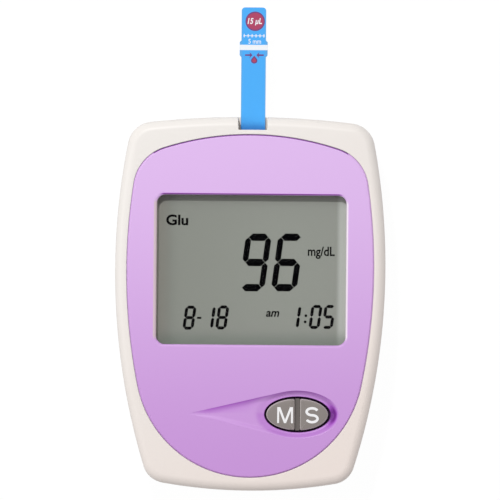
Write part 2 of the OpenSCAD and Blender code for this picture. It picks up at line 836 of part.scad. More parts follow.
// ---------------------------------------------------------------- strip port

// Connector body: a flat channel with a flared mouth for the strip, and three
// open slots for the contact springs
module strip_connector() {
    l = connector_high - connector_low;
    z0 = strip_z - run;
    z1 = strip_top + run;
    y = connector_high;
    slot_l = 8.2;
    color(dark) difference() {
        block(port_x, connector_low + l / 2, connector_w, l, board_top, board_top + connector_h);
        translate([port_x, 0, 0]) rotate([90, 0, 90]) linear_extrude(slot_w, center = true) polygon([
            [strip_end - run, z0], [y - lead_in, z0], [y + lead_in, z0 - lead_in],
            [y + lead_in, z1 + 2 * lead_in], [y - lead_in, z1], [strip_end - run, z1]]);
        for (x = contact_xs)
            block(x, strip_end - 1.5 + slot_l / 2, contact_w + 2 * slack, slot_l, board_top - over, body_t);
    }
}

// Leaf springs: each stands on the board behind the strip and reaches forward
// to touch it from above.
module connector_contacts() {
    y = connector_low + 0.6;
    z = strip_top + 0.05;
    color(gold) for (x = contact_xs) translate([x - contact_w / 2, 0, 0])
        rotate([90, 0, 90]) linear_extrude(contact_w) polygon([
            [y, board_top], [y + 0.9, board_top], [y + 0.9, board_top + 0.25], [y + 0.25, board_top + 0.25],
            [y + 0.25, z + 1], [strip_end + 4, z], [strip_end + 5.2, z + 0.7],
            [strip_end + 5, z + 0.9], [strip_end + 3.9, z + 0.3], [y, z + 1.3]]);
}

// Outline of the strip from its tip, with two round corners, down to low: a
// tab, two ears and the lead. One side is listed and then mirrored.
module strip_outline(low) {
    side = [
        for (a = [90 : -15 : 0]) [strip_w / 2 - tip_r, strip_tip - tip_r] + tip_r * [cos(a), sin(a)],
        [strip_w / 2, strip_tip - ear_y + 0.4],
        [ear_w / 2, strip_tip - ear_y],
        [ear_w / 2, strip_tip - ear_y - ear_l],
        [strip_w / 2, strip_tip - ear_y - ear_l - 0.5],
        [strip_w / 2, low]];
    n = len(side) - 1;
    translate([port_x, 0]) polygon([each side, for (i = [n : -1 : 0]) [-side[i][0], side[i][1]]]);
}

module strip_base() {
    color([0.95, 0.95, 0.93]) translate([0, 0, strip_z]) linear_extrude(base_t) strip_outline(strip_end);
}

module strip_cover() {
    color(strip_blue) translate([0, 0, strip_z + base_t]) linear_extrude(cover_t)
        strip_outline(strip_end + 6.5);
}

module strip_electrodes() {
    color(dark) for (x = contact_xs)
        block(x, strip_end + 3.2, electrode_w, 6, strip_z + base_t, strip_z + base_t + 0.06);
}

// ---------------------------------------------------------------- power

// A cell standing on its flat end: the can, its shoulder and the nub
module cell() {
    r = cell_d / 2;
    rim = 0.6;
    nub = 1;
    nub_r = 2;
    can_l = cell_l - nub;
    color([0.25, 0.3, 0.35]) rotate_extrude() polygon([
        [0, 0], [r - rim, 0], [r, rim], [r, can_l - rim], [r - rim, can_l],
        [nub_r, can_l], [nub_r, cell_l - 0.2], [nub_r - 0.2, cell_l], [0, cell_l]]);
}

// The left cell points up the meter, the right one down; each leaves the
// spring room at its flat end.
module battery_1() {
    translate([-cell_x, bay_high - plate_t - cell_l, cell_z]) rotate([-90, 0, 0]) cell();
}

module battery_2() {
    translate([cell_x, bay_low + plate_t + cell_l, cell_z]) rotate([90, 0, 0]) cell();
}

// A conical coil that stands on z = 0: one unbroken tube of six sides, with
// eight rings a curl. Its radius grows from tip to foot.
function coil_point(u) =
    let (r = spring_foot + (spring_tip - spring_foot) * u, a = 360 * spring_turns * u)
    [r * cos(a), r * sin(a), spring_wire / 2 + spring_rise * u];
function coil_ring(u) =
    let (p = coil_point(u), a = 360 * spring_turns * u) [
        for (j = [0 : 5]) p + spring_wire / 2 * (
            cos(60 * j) * [cos(a), sin(a), 0] + sin(60 * j) * [0, 0, 1])];
spring_gap = min([
    for (i = [0 : spring_rings - 6], j = [i + 6 : spring_rings])
        norm(coil_point(i / spring_rings) - coil_point(j / spring_rings)) - spring_wire]);
echo(least_gap_in_battery_spring = spring_gap);

module spring_coil() {
    n = 6;
    m = spring_rings + 1;
    points = [for (i = [0 : spring_rings]) each coil_ring(i / spring_rings)];
    polyhedron(
        points = points,
        faces = [
            [for (j = [n - 1 : -1 : 0]) j],
            for (i = [0 : m - 2], j = [0 : n - 1])
                let (k = (j + 1) % n) each [
                    [i * n + j, i * n + k, (i + 1) * n + k],
                    [i * n + j, (i + 1) * n + k, (i + 1) * n + j]],
            [for (j = [0 : n - 1]) (m - 1) * n + j]]);
}

module battery_springs() {
    color(steel) {
        translate([-cell_x, bay_low + plate_t, cell_z]) rotate([-90, 0, 0]) spring_coil();
        translate([cell_x, bay_high - plate_t, cell_z]) rotate([90, 0, 0]) spring_coil();
    }
}

// Solder tab of a contact plate, through the bay's roof and the board; the
// upper end (y = 1) and the lower end (y = -1) have one on each side.
module contact_tab(x, y, g) {
    block(x * cell_x, bay_y + y * (bay_l / 2 - plate_t / 2), 2 + 2 * g, plate_t + 2 * g,
        roof_z - 1, board_top + (g > 0 ? over : 0.4));
}

module contact_plate(x, y, w) {
    block(x, bay_y + y * (bay_l / 2 - plate_t / 2), w, plate_t, cell_z - cell_d * 0.4, roof_z - 0.2);
}

module link_contact() {
    color(steel) {
        contact_plate(0, 1, bay_w - 2 * run);
        for (x = [-1, 1]) contact_tab(x, 1, 0);
    }
}

module end_contacts() {
    color(steel) for (x = [-1, 1]) {
        contact_plate(x * cell_x, -1, cell_d * 0.8);
        contact_tab(x, -1, 0);
    }
}

// ---------------------------------------------------------------- fasteners

// A screw whose head of radius a bears at z, with a chamfered rim, a cross
// recess and a pointed shank of radius b and length l
module screw(p, a, b, head_h, z, l) {
    rim = 0.3;
    color(steel) translate([p[0], p[1], z]) difference() {
        rotate_extrude() polygon([
            [0, -head_h], [a - rim, -head_h], [a, rim - head_h], [a, 0], [b, 0],
            [b, l - b], [b / 2, l], [0, l]]);
        for (t = [0, 90]) rotate([0, 0, t]) block(0, 0, a * 1.2, 0.4, -head_h - over, -head_h + 0.5);
    }
}

module case_screws() {
    for (p = pillars)
        screw(p, case_head_d / 2, case_screw_d / 2, 1.3, case_head_z, parting_z - case_head_z + 5);
}

module board_screws() {
    for (p = posts) screw(p, board_head_d / 2, board_screw_d / 2, 0.9, board_z, board_t + 2.8);
}

// ---------------------------------------------------------------- assembly

front_housing();
back_housing();
faceplate();
display_lens();
display_gasket();
lcd_film();
lcd_glass();
lcd_holder();
elastomer_strip();
main_board();
controller_chip();
amplifier_chip();
crystal();
capacitors();
buzzer();
keypad_mat();
memory_button();
set_button();
memory_plunger();
set_plunger();
memory_switch();
set_switch();
strip_connector();
connector_contacts();
strip_base();
strip_cover();
strip_electrodes();
battery_1();
battery_2();
battery_springs();
link_contact();
end_contacts();
battery_door();
case_screws();
board_screws();
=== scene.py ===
from math import acos, atan2, cos, exp, hypot, pi, radians, sin, sqrt, tan

import bmesh
import bpy
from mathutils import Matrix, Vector
from mathutils.geometry import delaunay_2d_cdt


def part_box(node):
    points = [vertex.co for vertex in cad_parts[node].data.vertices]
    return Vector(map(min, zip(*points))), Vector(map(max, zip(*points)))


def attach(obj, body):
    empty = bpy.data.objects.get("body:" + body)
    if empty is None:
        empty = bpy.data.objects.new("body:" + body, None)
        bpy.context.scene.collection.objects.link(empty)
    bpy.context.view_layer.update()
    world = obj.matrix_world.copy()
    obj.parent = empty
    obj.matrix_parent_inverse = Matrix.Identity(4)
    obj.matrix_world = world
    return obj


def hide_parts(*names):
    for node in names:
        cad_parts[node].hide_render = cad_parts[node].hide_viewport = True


# Looks of a hand-held meter and its test strip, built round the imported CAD
# frame. Shapes are written in millimetres and scaled when a mesh is made.

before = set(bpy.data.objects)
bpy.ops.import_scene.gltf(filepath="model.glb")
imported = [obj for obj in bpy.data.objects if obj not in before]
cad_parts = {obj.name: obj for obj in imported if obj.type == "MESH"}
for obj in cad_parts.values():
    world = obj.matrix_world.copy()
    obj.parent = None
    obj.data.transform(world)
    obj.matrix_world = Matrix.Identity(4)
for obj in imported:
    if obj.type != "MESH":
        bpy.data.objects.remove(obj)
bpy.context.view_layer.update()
scene = bpy.context.scene
MM = 0.001


def level(node, end, axis=2):
    """The lower (0) or upper (1) end of a CAD node along an axis, in millimetres."""
    return round(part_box(node)[end][axis] / MM, 3)


# Outlines that the CAD part has too: width, length, side radius and height, end
# radii, corner radii
BODY = (63.8, 88.2, 157, 8.2, 210, 120, 6.1, 5.6)
FACE = (58, 80.6, 136, 8.5, 66, 69, 10.2, 26.7)
FACE_Y = -0.5
FRONT_ROUND, WALL, SEAM = 2.2, 1.8, 0.2
WINDOW = (45.9, 36.3, 8, 2)  # width, length, middle, corner radius
BEVEL = 0.5
LEFT_LEAN, RIGHT_OUT = 0.35, 0.12  # the left bevel is wider, the right side stands out
KEYS = (11.4, -26, 15.5, 8.3)  # middle, length and height of the opening
DISH = (19.7, 11.3, 25.9)  # length, height, distance to the tail's tip
DISH_DEPTH, DISH_TILT, ROLL = 1.1, 2.5, 0.16  # the last is the opening's rounded edge
NOTCH_W, PORT_Y, NOTCH_Z, PORT_BLOCK_W = 7, 41.05, 14.25, 11
PIN_D, PIN_L = 1.6, 0.9  # pins under the faceplate
PILLAR_D, CASE_BORE, POST_D, BOARD_BORE = 5.6, 2, 4.4, 1.5
MAT_LAP = 1.15  # how far the mat's pocket goes past the key opening
PIN_PLACES = ((2.8, 20.5), (5.5, -20))  # in from the faceplate's side, up from its middle
PINS = [(side * (FACE[0] / 2 - back), FACE_Y + y) for side in (-1, 1) for back, y in PIN_PLACES]
PORT_LOW, PORT_HIGH = 14.8, 19.6  # heights of the block that holds the strip's port
NOTCH_END, ABOVE = 46.5, 24  # past the body's end and over its top, for cutters
SLOT = (6.2, 4, 0.05, 39.9)  # the port's width, length, corner radius, middle

TOP, PART_Z = level("front_housing", 1), level("front_housing", 0)
FACE_Z, WEB_Z = level("display_lens", 0), level("display_gasket", 1)
LENS_TOP, FILM_TOP = level("display_lens", 1), level("lcd_film", 1)
KEY_TOP, FLANGE_Z = level("set_button", 1), level("set_button", 0)
STRIP_TOP, STRIP_Z = level("strip_cover", 1), level("strip_base", 0)
STRIP_X = (level("strip_base", 0, 0) + level("strip_base", 1, 0)) / 2


# ---- materials

def rgb(r, g, b):
    """A colour written as it looks on screen, 0 to 255, for a shader socket."""
    def one(c):
        c /= 255
        return c / 12.92 if c <= 0.04045 else ((c + 0.055) / 1.055) ** 2.4
    return (one(r), one(g), one(b), 1.0)


GAP_SHADE = rgb(52, 16, 62)  # painted shade down in the gap round the keys


class Shader:
    """A node material that is built up from the Principled shader backwards."""

    def __init__(self, name, **values):
        self.mat = bpy.data.materials.new(name)
        self.mat.use_nodes = True
        self.tree = self.mat.node_tree
        self.out = next(n for n in self.tree.nodes if n.type == "OUTPUT_MATERIAL")
        self.main = next(n for n in self.tree.nodes if n.type == "BSDF_PRINCIPLED")
        for key, value in values.items():
            self.main.inputs[key.replace("_", " ")].default_value = value
        self.place = self.node("TexCoord").outputs["Object"]

    def node(self, kind, **fields):
        n = self.tree.nodes.new("ShaderNode" + kind)
        for key, value in fields.items():
            setattr(n, key, value)
        return n

    def feed(self, socket, value):
        if isinstance(value, bpy.types.NodeSocket):
            self.tree.links.new(value, socket)
        else:
            socket.default_value = value

    def math(self, operation, a, b=0.5, clamp=False):
        n = self.node("Math", operation=operation, use_clamp=clamp)
        self.feed(n.inputs[0], a)
        self.feed(n.inputs[1], b)
        return n.outputs[0]

    def step(self, value, low, high):
        """0 below low, 1 above high, smooth between."""
        n = self.node("MapRange", interpolation_type="SMOOTHSTEP")
        self.feed(n.inputs["Value"], value)
        self.feed(n.inputs["From Min"], low)
        self.feed(n.inputs["From Max"], high)
        return n.outputs["Result"]

    def scaled(self, value, low, high):
        """Maps 0..1 to low..high."""
        n = self.node("MapRange")
        self.feed(n.inputs["Value"], value)
        self.feed(n.inputs["To Min"], low)
        self.feed(n.inputs["To Max"], high)
        return n.outputs["Result"]

    def mix(self, share, a, b, blend="MIX"):
        n = self.node("Mix", data_type="RGBA", blend_type=blend)
        self.feed(n.inputs["Factor"], share)
        self.feed(n.inputs[6], a)
        self.feed(n.inputs[7], b)
        return n.outputs[2]

    def noise(self, size_mm, detail=2.0, stretch=(1, 1, 1), roughness=0.5):
        """Noise of about that grain size on object coordinates, in 0..1."""
        m = self.node("Mapping")
        self.feed(m.inputs["Vector"], self.place)
        m.inputs["Scale"].default_value = [s / (size_mm * MM) for s in stretch]
        n = self.node("TexNoise")
        self.feed(n.inputs["Vector"], m.outputs["Vector"])
        n.inputs["Scale"].default_value = 1.0
        n.inputs["Detail"].default_value = detail
        n.inputs["Roughness"].default_value = roughness
        return n.outputs["Fac"]

    def axis(self, name):
        """The object's own X, Y or Z in millimetres."""
        n = self.node("SeparateXYZ")
        self.feed(n.inputs[0], self.place)
        return self.math("MULTIPLY", n.outputs[name], 1 / MM)

    def painted(self, name):
        """A value that the mesh carries on its points, 0 where it has none."""
        return self.node("Attribute", attribute_name=name).outputs["Fac"]

    def edge(self, radius_mm, least):
        """1 on sharp edges, 0 on flat faces."""
        b = self.node("Bevel", samples=4)
        b.inputs["Radius"].default_value = radius_mm * MM
        g = self.node("NewGeometry")
        d = self.node("VectorMath", operation="DOT_PRODUCT")
        self.feed(d.inputs[0], b.outputs["Normal"])
        self.feed(d.inputs[1], g.outputs["Normal"])
        return self.step(self.math("SUBTRACT", 1.0, d.outputs["Value"]), least, 0.25)

    def bump(self, height, strength, depth_mm):
        n = self.node("Bump")
        n.inputs["Strength"].default_value = strength
        n.inputs["Distance"].default_value = depth_mm * MM
        self.feed(n.inputs["Height"], height)
        self.feed(self.main.inputs["Normal"], n.outputs["Normal"])

    def colour(self, value):
        self.feed(self.main.inputs["Base Color"], value)

    def roughness(self, value):
        self.feed(self.main.inputs["Roughness"], value)


def moulded(name, base, rough, wear_and_highlight, grain_mm=0.22, grain=0.25, edge_mm=0.25, blotch=0.05,
            shade=None, wear_and_highlight_floor=0.35, least=0.02, painted_light=None):
    """Moulded plastic: faint blotches, a fine spark-eroded grain and paler edges, which are rubbed wear and,
    on the keys, a painted highlight on their rims.
    """
    s = Shader(name, Specular_IOR_Level=0.35)
    body = shade(s, base) if shade else base
    soft = s.noise(14, 3)
    tone = s.mix(s.scaled(soft, 0, blotch * 2), body, s.mix(1.0, body, (0.82, 0.8, 0.79, 1), "MULTIPLY"))
    # paler edges: wear, and a painted highlight where the edge colour is pale
    wear_and_highlight_mask = s.math("MULTIPLY", s.edge(edge_mm, least), s.scaled(s.noise(2.5, 4), wear_and_highlight_floor, 1.0))
    tone = s.mix(wear_and_highlight_mask, tone, wear_and_highlight)
    s.colour(painted_light(s, tone) if painted_light else tone)
    fine = s.noise(grain_mm, 2)
    s.roughness(s.math("ADD", s.scaled(soft, rough - 0.04, rough + 0.05), s.scaled(fine, -0.03, 0.03)))
    s.bump(fine, grain, 0.02)
    return s.mat


def cream_painted_light(s, base):
    """Painted light: the housing is a little warmer and darker towards its lower right, where the light
    falls off, and painted shade makes its flanks a little greyer than its face."""
    painted_falloff = s.math("SUBTRACT", s.math("MULTIPLY", s.axis("X"), 0.8), s.axis("Y"))
    face = s.mix(s.step(painted_falloff, -55, 75), base, rgb(243, 230, 223))
    # painted shade on the flanks below the front rounding
    flank_shade = s.mix(1.0, face, (0.93, 0.92, 0.91, 1), "MULTIPLY")
    return s.mix(s.step(s.axis("Z"), TOP - 0.9, TOP - 2.1), face, flank_shade)


def lilac_painted_light(s, base):
    """Painted light on the faceplate: a painted sheen that fades towards its lower end, painted shade in its
    hollows and down in the gap round the keys, and a painted highlight on its window's left and right
    bevels, warm grey on the left and near white on the right."""
    # painted sheen, fading from the top towards the lower end
    sheen_fade = s.step(s.axis("Y"), 42, -46)
    hollow = s.painted("hollow")
    plate = s.mix(sheen_fade, base, rgb(205, 152, 222))
    # painted shade from the mesh's hollow values, deepest in the gap round the keys
    plate = s.mix(s.math("MULTIPLY", hollow, 2.0, clamp=True), plate, rgb(180, 98, 208))
    plate = s.mix(s.step(hollow, 0.38, 0.84), plate, rgb(118, 32, 144))
    plate = s.mix(s.step(hollow, 0.85, 1.0), plate, rgb(60, 16, 70))
    # painted highlight on the window's bevels
    painted_highlight = s.mix(s.step(s.axis("X"), -1, 1), rgb(222, 200, 208), rgb(252, 238, 253))
    return s.mix(s.painted("bevel_highlight"), plate, painted_highlight)


def key_painted_light(s, tone):
    """Painted highlight on the keys' rims, and painted shade that makes their flanks nearly black down in
    the gap round them.
    """
    painted_highlight = s.mix(s.painted("rim"), tone, rgb(226, 217, 212))
    return s.mix(s.step(s.axis("Z"), 21.3, 20.9), painted_highlight, GAP_SHADE)


cream = moulded("cream_plastic", rgb(243, 238, 233), 0.42, rgb(248, 244, 241), shade=cream_painted_light)
lilac = moulded("lilac_plastic", rgb(229, 190, 243), 0.34, rgb(236, 206, 246), shade=lilac_painted_light,
                edge_mm=0.18)
# The keys' pale edge colour is mostly a painted highlight on their rolled rims, with some wear.
key_plastic = moulded("key_plastic", rgb(138, 130, 126), 0.45, rgb(222, 206, 214), grain_mm=0.3,
                      grain=0.35, edge_mm=0.5, blotch=0.08, wear_and_highlight_floor=0.9, least=0.005, painted_light=key_painted_light)
white_plastic = moulded("white_plastic", rgb(228, 228, 224), 0.5, rgb(240, 240, 238))
black_plastic = moulded("black_plastic", rgb(38, 38, 41), 0.55, rgb(70, 70, 74), grain_mm=0.12)


def rubber(name, base, light, painted_light=None):
    """Matt rubber or foam with a little dust."""
    s = Shader(name, Specular_IOR_Level=0.2)
    dust = s.noise(0.5, 5, roughness=0.65)
    tone = s.mix(s.scaled(dust, -0.2, 0.5), base, light)
    s.colour(painted_light(s, tone) if painted_light else tone)
    s.roughness(s.scaled(dust, 0.6, 0.8))
    s.bump(s.noise(0.1, 3), 0.3, 0.02)
    return s.mat


def mat_painted_shade(s, tone):
    """Grey on the bar between the keys, with painted shade that makes it nearly black down in the gap round
    them.
    """
    return s.mix(s.step(s.axis("Z"), 21.0, 20.2), tone, GAP_SHADE)


mat_rubber = rubber("keypad_rubber", rgb(106, 100, 97), rgb(124, 117, 114), mat_painted_shade)
foam = rubber("black_foam", rgb(22, 22, 23), rgb(38, 38, 40))
elastomer = rubber("elastomer", rgb(122, 66, 76), rgb(150, 92, 100))


def metal(name, base, dull, rough, stretch=(1, 1, 1)):
    s = Shader(name, Metallic=1.0)
    streak = s.noise(0.6, 5, stretch, 0.6)
    s.colour(s.mix(s.scaled(streak, 0.0, 0.6), base, dull))
    s.roughness(s.scaled(streak, rough - 0.08, rough + 0.12))
    s.bump(s.noise(0.15, 3, stretch), 0.15, 0.01)
    return s.mat


steel = metal("plated_steel", rgb(205, 206, 210), rgb(160, 160, 164), 0.3, (1, 4, 4))
gilt = metal("gilt_spring", rgb(226, 188, 104), rgb(190, 146, 70), 0.28, (4, 1, 1))


def cell_wrap():
    """A plain wrapped cell: a dark sleeve with bare metal at its ends."""
    s = Shader("cell_sleeve", Specular_IOR_Level=0.5)
    soft = s.noise(6, 4, (1, 0.25, 1))
    s.colour(s.mix(s.scaled(soft, 0, 0.5), rgb(58, 70, 84), rgb(40, 50, 62)))
    s.roughness(s.scaled(soft, 0.22, 0.36))
    s.bump(s.noise(0.8, 2), 0.08, 0.02)
    return s.mat


def board_mask():
    """Solder mask over copper: faint tracks and a fine weave under the green."""
    s = Shader("solder_mask", Specular_IOR_Level=0.5)
    tracks = s.step(s.noise(2.2, 0, (1, 0.15, 1)), 0.52, 0.55)
    weave = s.noise(0.25, 1)
    green = s.mix(s.scaled(weave, 0, 0.5), rgb(22, 86, 52), rgb(34, 106, 66))
    s.colour(s.mix(s.math("MULTIPLY", tracks, 0.6), green, rgb(48, 128, 78)))
    s.roughness(s.scaled(weave, 0.3, 0.42))
    s.bump(s.math("ADD", tracks, s.math("MULTIPLY", weave, 0.3)), 0.4, 0.03)
    return s.mat


def ceramic_body():
    s = Shader("ceramic_body")
    grit = s.noise(0.15, 4)
    ends = s.step(s.math("PINGPONG", s.axis("Y"), 1.0), 0.1, 0.2)
    s.colour(s.mix(ends, rgb(200, 200, 202), s.mix(grit, rgb(176, 146, 104), rgb(196, 168, 124))))
    s.roughness(s.scaled(grit, 0.4, 0.55))
    s.bump(grit, 0.2, 0.01)
    return s.mat


def display_panel():
    """The display film: lighter to the right and darker and greener towards the bottom, with painted light
    along its left margin, a painted bright strip along its right edge and a painted shadow under the
    window's top edge.
    """
    s = Shader("display_film", Specular_IOR_Level=0.06)
    x, y = s.axis("X"), s.axis("Y")
    cloud = s.noise(16, 2)
    fine = s.noise(0.35, 3)
    base = s.mix(s.step(x, -19, 12), rgb(152, 155, 147), rgb(160, 163, 155))
    base = s.mix(s.scaled(cloud, 0, 0.25), base, rgb(155, 160, 151))
    # painted light on the left margin, palest in a thin line at its very edge
    base = s.mix(s.step(x, -18.0, -21.6), base, rgb(156, 155, 146))
    base = s.mix(s.step(x, -21.7, -22.0), base, rgb(214, 210, 198))
    # painted bright strip along the right edge
    base = s.mix(s.step(x, 20.1, 21.4), base, rgb(196, 200, 193))
    # darker and greener towards the bottom
    base = s.mix(s.math("MULTIPLY", s.step(y, -5.5, -9.5), 0.55), base, rgb(124, 136, 126))
    # painted shadow under the window's top edge
    base = s.mix(s.math("MULTIPLY", s.step(y, 22.5, 25.2), 0.35), base, rgb(128, 128, 122))
    s.colour(s.mix(s.scaled(fine, 0, 0.12), base, rgb(120, 122, 112)))
    s.roughness(s.scaled(fine, 0.45, 0.6))
    s.bump(fine, 0.06, 0.01)
    return s.mat


def display_ink(name, base):
    """The dark segments of the display, a touch uneven as liquid crystal is."""
    s = Shader(name, Specular_IOR_Level=0.0)
    cloud = s.noise(1.5, 2)
    s.colour(s.mix(cloud, base, rgb(6, 6, 7)))
    s.roughness(s.scaled(cloud, 0.6, 0.8))
    s.bump(cloud, 0.05, 0.01)
    return s.mat


def clear_lens():
    """Clear hard-coated plastic, thin enough to see through unbent."""
    s = Shader("clear_lens", Alpha=0.03, Specular_IOR_Level=0.5, IOR=1.49)
    haze = s.noise(4, 4)
    s.colour(s.mix(haze, rgb(30, 33, 33), rgb(40, 42, 41)))
    s.roughness(s.scaled(haze, 0.03, 0.07))
    s.bump(s.noise(18, 1), 0.03, 0.05)
    return s.mat


def printed(name, base, second, rough=0.4, mottle=0.3):
    """Ink or film on the strip, with the slight mottle of screen printing."""
    s = Shader(name, Specular_IOR_Level=0.3)
    cloud = s.noise(1.2, 4)
    fine = s.noise(0.08, 2)
    s.colour(s.mix(s.scaled(cloud, 0, mottle), base, second))
    s.roughness(s.scaled(fine, rough - 0.06, rough + 0.08))
    s.bump(fine, 0.12, 0.01)
    return s.mat


def strip_film():
    """Sky blue cover film, a little deeper along its cut edges, with painted shade where it runs down into
    the notch at the port.
    """
    s = Shader("sky_blue_film", Specular_IOR_Level=0.3)
    x, y = s.axis("X"), s.axis("Y")
    off = s.math("ABSOLUTE", s.math("SUBTRACT", x, STRIP_X))
    rim = s.step(off, 2.45, 2.95)
    cloud = s.noise(3, 3, (1, 0.3, 1))
    blue = s.mix(s.scaled(cloud, 0, 0.35), rgb(70, 176, 252), rgb(80, 170, 246))
    blue = s.mix(s.math("MULTIPLY", rim, 0.6), blue, rgb(104, 168, 220))
    # painted shade in the notch at the port
    s.colour(s.mix(s.step(y, 43.5, 41.2), blue, rgb(40, 128, 206)))
    s.roughness(s.scaled(s.noise(0.1, 2), 0.3, 0.42))
    s.bump(s.noise(0.1, 2), 0.1, 0.01)
    return s.mat


key_print = printed("key_print", rgb(250, 249, 250), rgb(240, 239, 241), 0.5)
white_ink = printed("white_ink", rgb(246, 248, 252), rgb(232, 238, 248))
red_ink = printed("red_ink", rgb(186, 60, 88), rgb(160, 58, 104), mottle=0.9)
violet_ink = printed("violet_ink", rgb(104, 62, 128), rgb(122, 62, 118), mottle=0.8)
strip_white = printed("strip_base_film", rgb(240, 241, 243), rgb(228, 230, 234))
carbon = printed("carbon_tracks", rgb(32, 32, 34), rgb(52, 52, 55), 0.7, 0.8)

SLOT_MATERIALS = {
    "housing": cream, "faceplate": lilac, "lens": clear_lens(), "foam": foam, "display": display_panel(),
    "display_glass": printed("glass_cell", rgb(156, 162, 150), rgb(140, 146, 136), 0.15),
    "white_plastic": white_plastic, "elastomer": elastomer, "board": board_mask(),
    "black_plastic": black_plastic, "steel": steel, "ceramic": ceramic_body(), "key_mat": mat_rubber,
    "key": key_plastic, "gold": gilt, "strip_white": strip_white, "strip_print": strip_film(),
    "carbon_ink": carbon, "cell": cell_wrap()}


# ---- meshes

def linked(name, data):
    """A new object in the scene."""
    one = bpy.data.objects.new(name, data)
    scene.collection.objects.link(one)
    return one


def make(name, points, faces, material, body, slot, angle=32):
    """A piece from points in millimetres, shaded smooth up to that angle."""
    mesh = bpy.data.meshes.new(name)
    mesh.from_pydata([tuple(MM * c for c in p) for p in points], [], faces)
    mesh.materials.append(material)
    return set_up(name, mesh, body, angle)


def set_up(name, mesh, body, angle):
    """Puts a mesh in the scene. A cutter has no body, so it rides on nothing."""
    piece = linked(name, mesh)
    tidy(piece, angle)
    if body:
        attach(piece, body)
    return piece


def tidy(piece, angle=32):
    """Outward faces, no doubles, smooth shading up to that angle."""
    bm = bmesh.new()
    bm.from_mesh(piece.data)
    bmesh.ops.remove_doubles(bm, verts=bm.verts, dist=1e-7)
    bmesh.ops.dissolve_degenerate(bm, edges=bm.edges, dist=1e-7)
    bmesh.ops.recalc_face_normals(bm, faces=bm.faces)
    bm.to_mesh(piece.data)
    bm.free()
    piece.data.shade_smooth()
    piece.data.set_sharp_from_angle(angle=radians(angle))


def weigh(piece):
    """Lets the large flat faces set the normals beside a rounded edge."""
    m = piece.modifiers.new("weighted", "WEIGHTED_NORMAL")
    m.keep_sharp = True
    m.weight = 80


def skin(rings, first=True, last=True):
    """Points and faces over rings that have the same number of points, with a
    cap on the first and the last of them."""
    n, points, faces = len(rings[0]), [p for r in rings for p in r], []
    for a in range(0, (len(rings) - 1) * n, n):
        for j in range(n):
            k = (j + 1) % n
            faces.append((a + j, a + k, a + n + k, a + n + j))
    if first:
        faces.append(tuple(range(n))[::-1])
    if last:
        faces.append(tuple(range((len(rings) - 1) * n, len(rings) * n)))
    return points, faces


def cut(piece, cutter, operation="DIFFERENCE"):
    """Applies an exact boolean and drops the cutter."""
    m = piece.modifiers.new("cut", "BOOLEAN")
    m.operation, m.solver, m.object = operation, "EXACT", cutter
    graph = bpy.context.evaluated_depsgraph_get()
    mesh = bpy.data.meshes.new_from_object(piece.evaluated_get(graph))
    piece.modifiers.clear()
    piece.data = mesh
    bpy.data.objects.remove(cutter)


def smoothed(piece):
    """Shades a CAD node smooth and welds it by a modifier; its vertices stay."""
    bpy.context.view_layer.objects.active = piece
    bpy.ops.mesh.customdata_custom_splitnormals_clear()
    mesh = piece.data
    for face in mesh.polygons:
        face.use_smooth = True
    for name in ("sharp_edge", "sharp_face"):
        if name in mesh.attributes:
            mesh.attributes.remove(mesh.attributes[name])
    piece.modifiers.new("weld", "WELD").merge_threshold = 2e-6


def refine(piece, width_mm):
    """Gives a CAD node rounded edges by modifiers alone."""
    smoothed(piece)
    flat = piece.modifiers.new("flat", "DECIMATE")
    flat.decimate_type = "DISSOLVE"
    flat.angle_limit = radians(0.3)
    soft = piece.modifiers.new("soft", "BEVEL")
    soft.width = width_mm * MM
    soft.segments = 2
    soft.limit_method = "ANGLE"
    soft.angle_limit = radians(30)
    soft.use_clamp_overlap = True
    soft.harden_normals = True


# ---- outlines

def arcs(s):
    """The four long arcs of an outline, anticlockwise from the right side."""
    return [((s[0] / 2 - s[2], s[3]), s[2]), ((0, s[1] / 2 - s[4]), s[4]),
            ((s[2] - s[0] / 2, s[3]), s[2]), ((0, s[5] - s[1] / 2), s[5])]


def touch(a, b, r):
    """Centre of the circle of radius r that touches circles a and b from inside."""
    dx, dy = b[0][0] - a[0][0], b[0][1] - a[0][1]
    n, p, q = hypot(dx, dy), a[1] - r, b[1] - r
    t = (p * p - q * q + n * n) / (2 * n)
    h, ux, uy = sqrt(p * p - t * t), dx / n, dy / n
    return (a[0][0] + t * ux - h * uy, a[0][1] + t * uy + h * ux)


def heading(p, q):
    return atan2(q[1] - p[1], q[0] - p[0])


def outline(s, inset):
    """Points of an outline of four arcs and four corners, drawn in by inset. Each
    side and the corner after it share the same number of points, the corner
    three times as close."""
    total, least = 60, 4
    long_arcs, points = arcs(s), []
    centres = [touch(long_arcs[i], long_arcs[(i + 1) % 4], s[6] if i < 2 else s[7]) for i in range(4)]
    for i in range(4):
        (c, r), k = long_arcs[i], centres[i]
        a0, a1 = heading(c, centres[i - 1]), heading(c, k)
        b1 = heading(long_arcs[(i + 1) % 4][0], k)
        corner_r = s[6] if i < 2 else s[7]
        long = r * ((a1 - a0) % (2 * pi))
        short = 3 * corner_r * ((b1 - a1) % (2 * pi))
        side = min(total - least, max(least, round(total * long / (long + short))))
        for centre, radius, start, end, steps, first in (
                (c, r - inset, a0, a1, side, 0), (k, corner_r - inset, a1, b1, total - side, 1)):
            span = (end - start) % (2 * pi)
            for j in range(first, steps if first else steps + 1):
                a = start + span * j / steps
                points.append((centre[0] + radius * cos(a), centre[1] + radius * sin(a)))
    return points


def ring(s, inset, z, y=0.0):
    return [(p[0], p[1] + y, z) for p in outline(s, inset)]


def face_ring(inset, z):
    return ring(FACE, inset, z, FACE_Y)


def quarter(steps):
    """Pairs (in, up) of a quarter circle of radius 1, from the wall to the top."""
    return [(1 - cos(pi / 2 * i / steps), sin(pi / 2 * i / steps)) for i in range(steps + 1)]


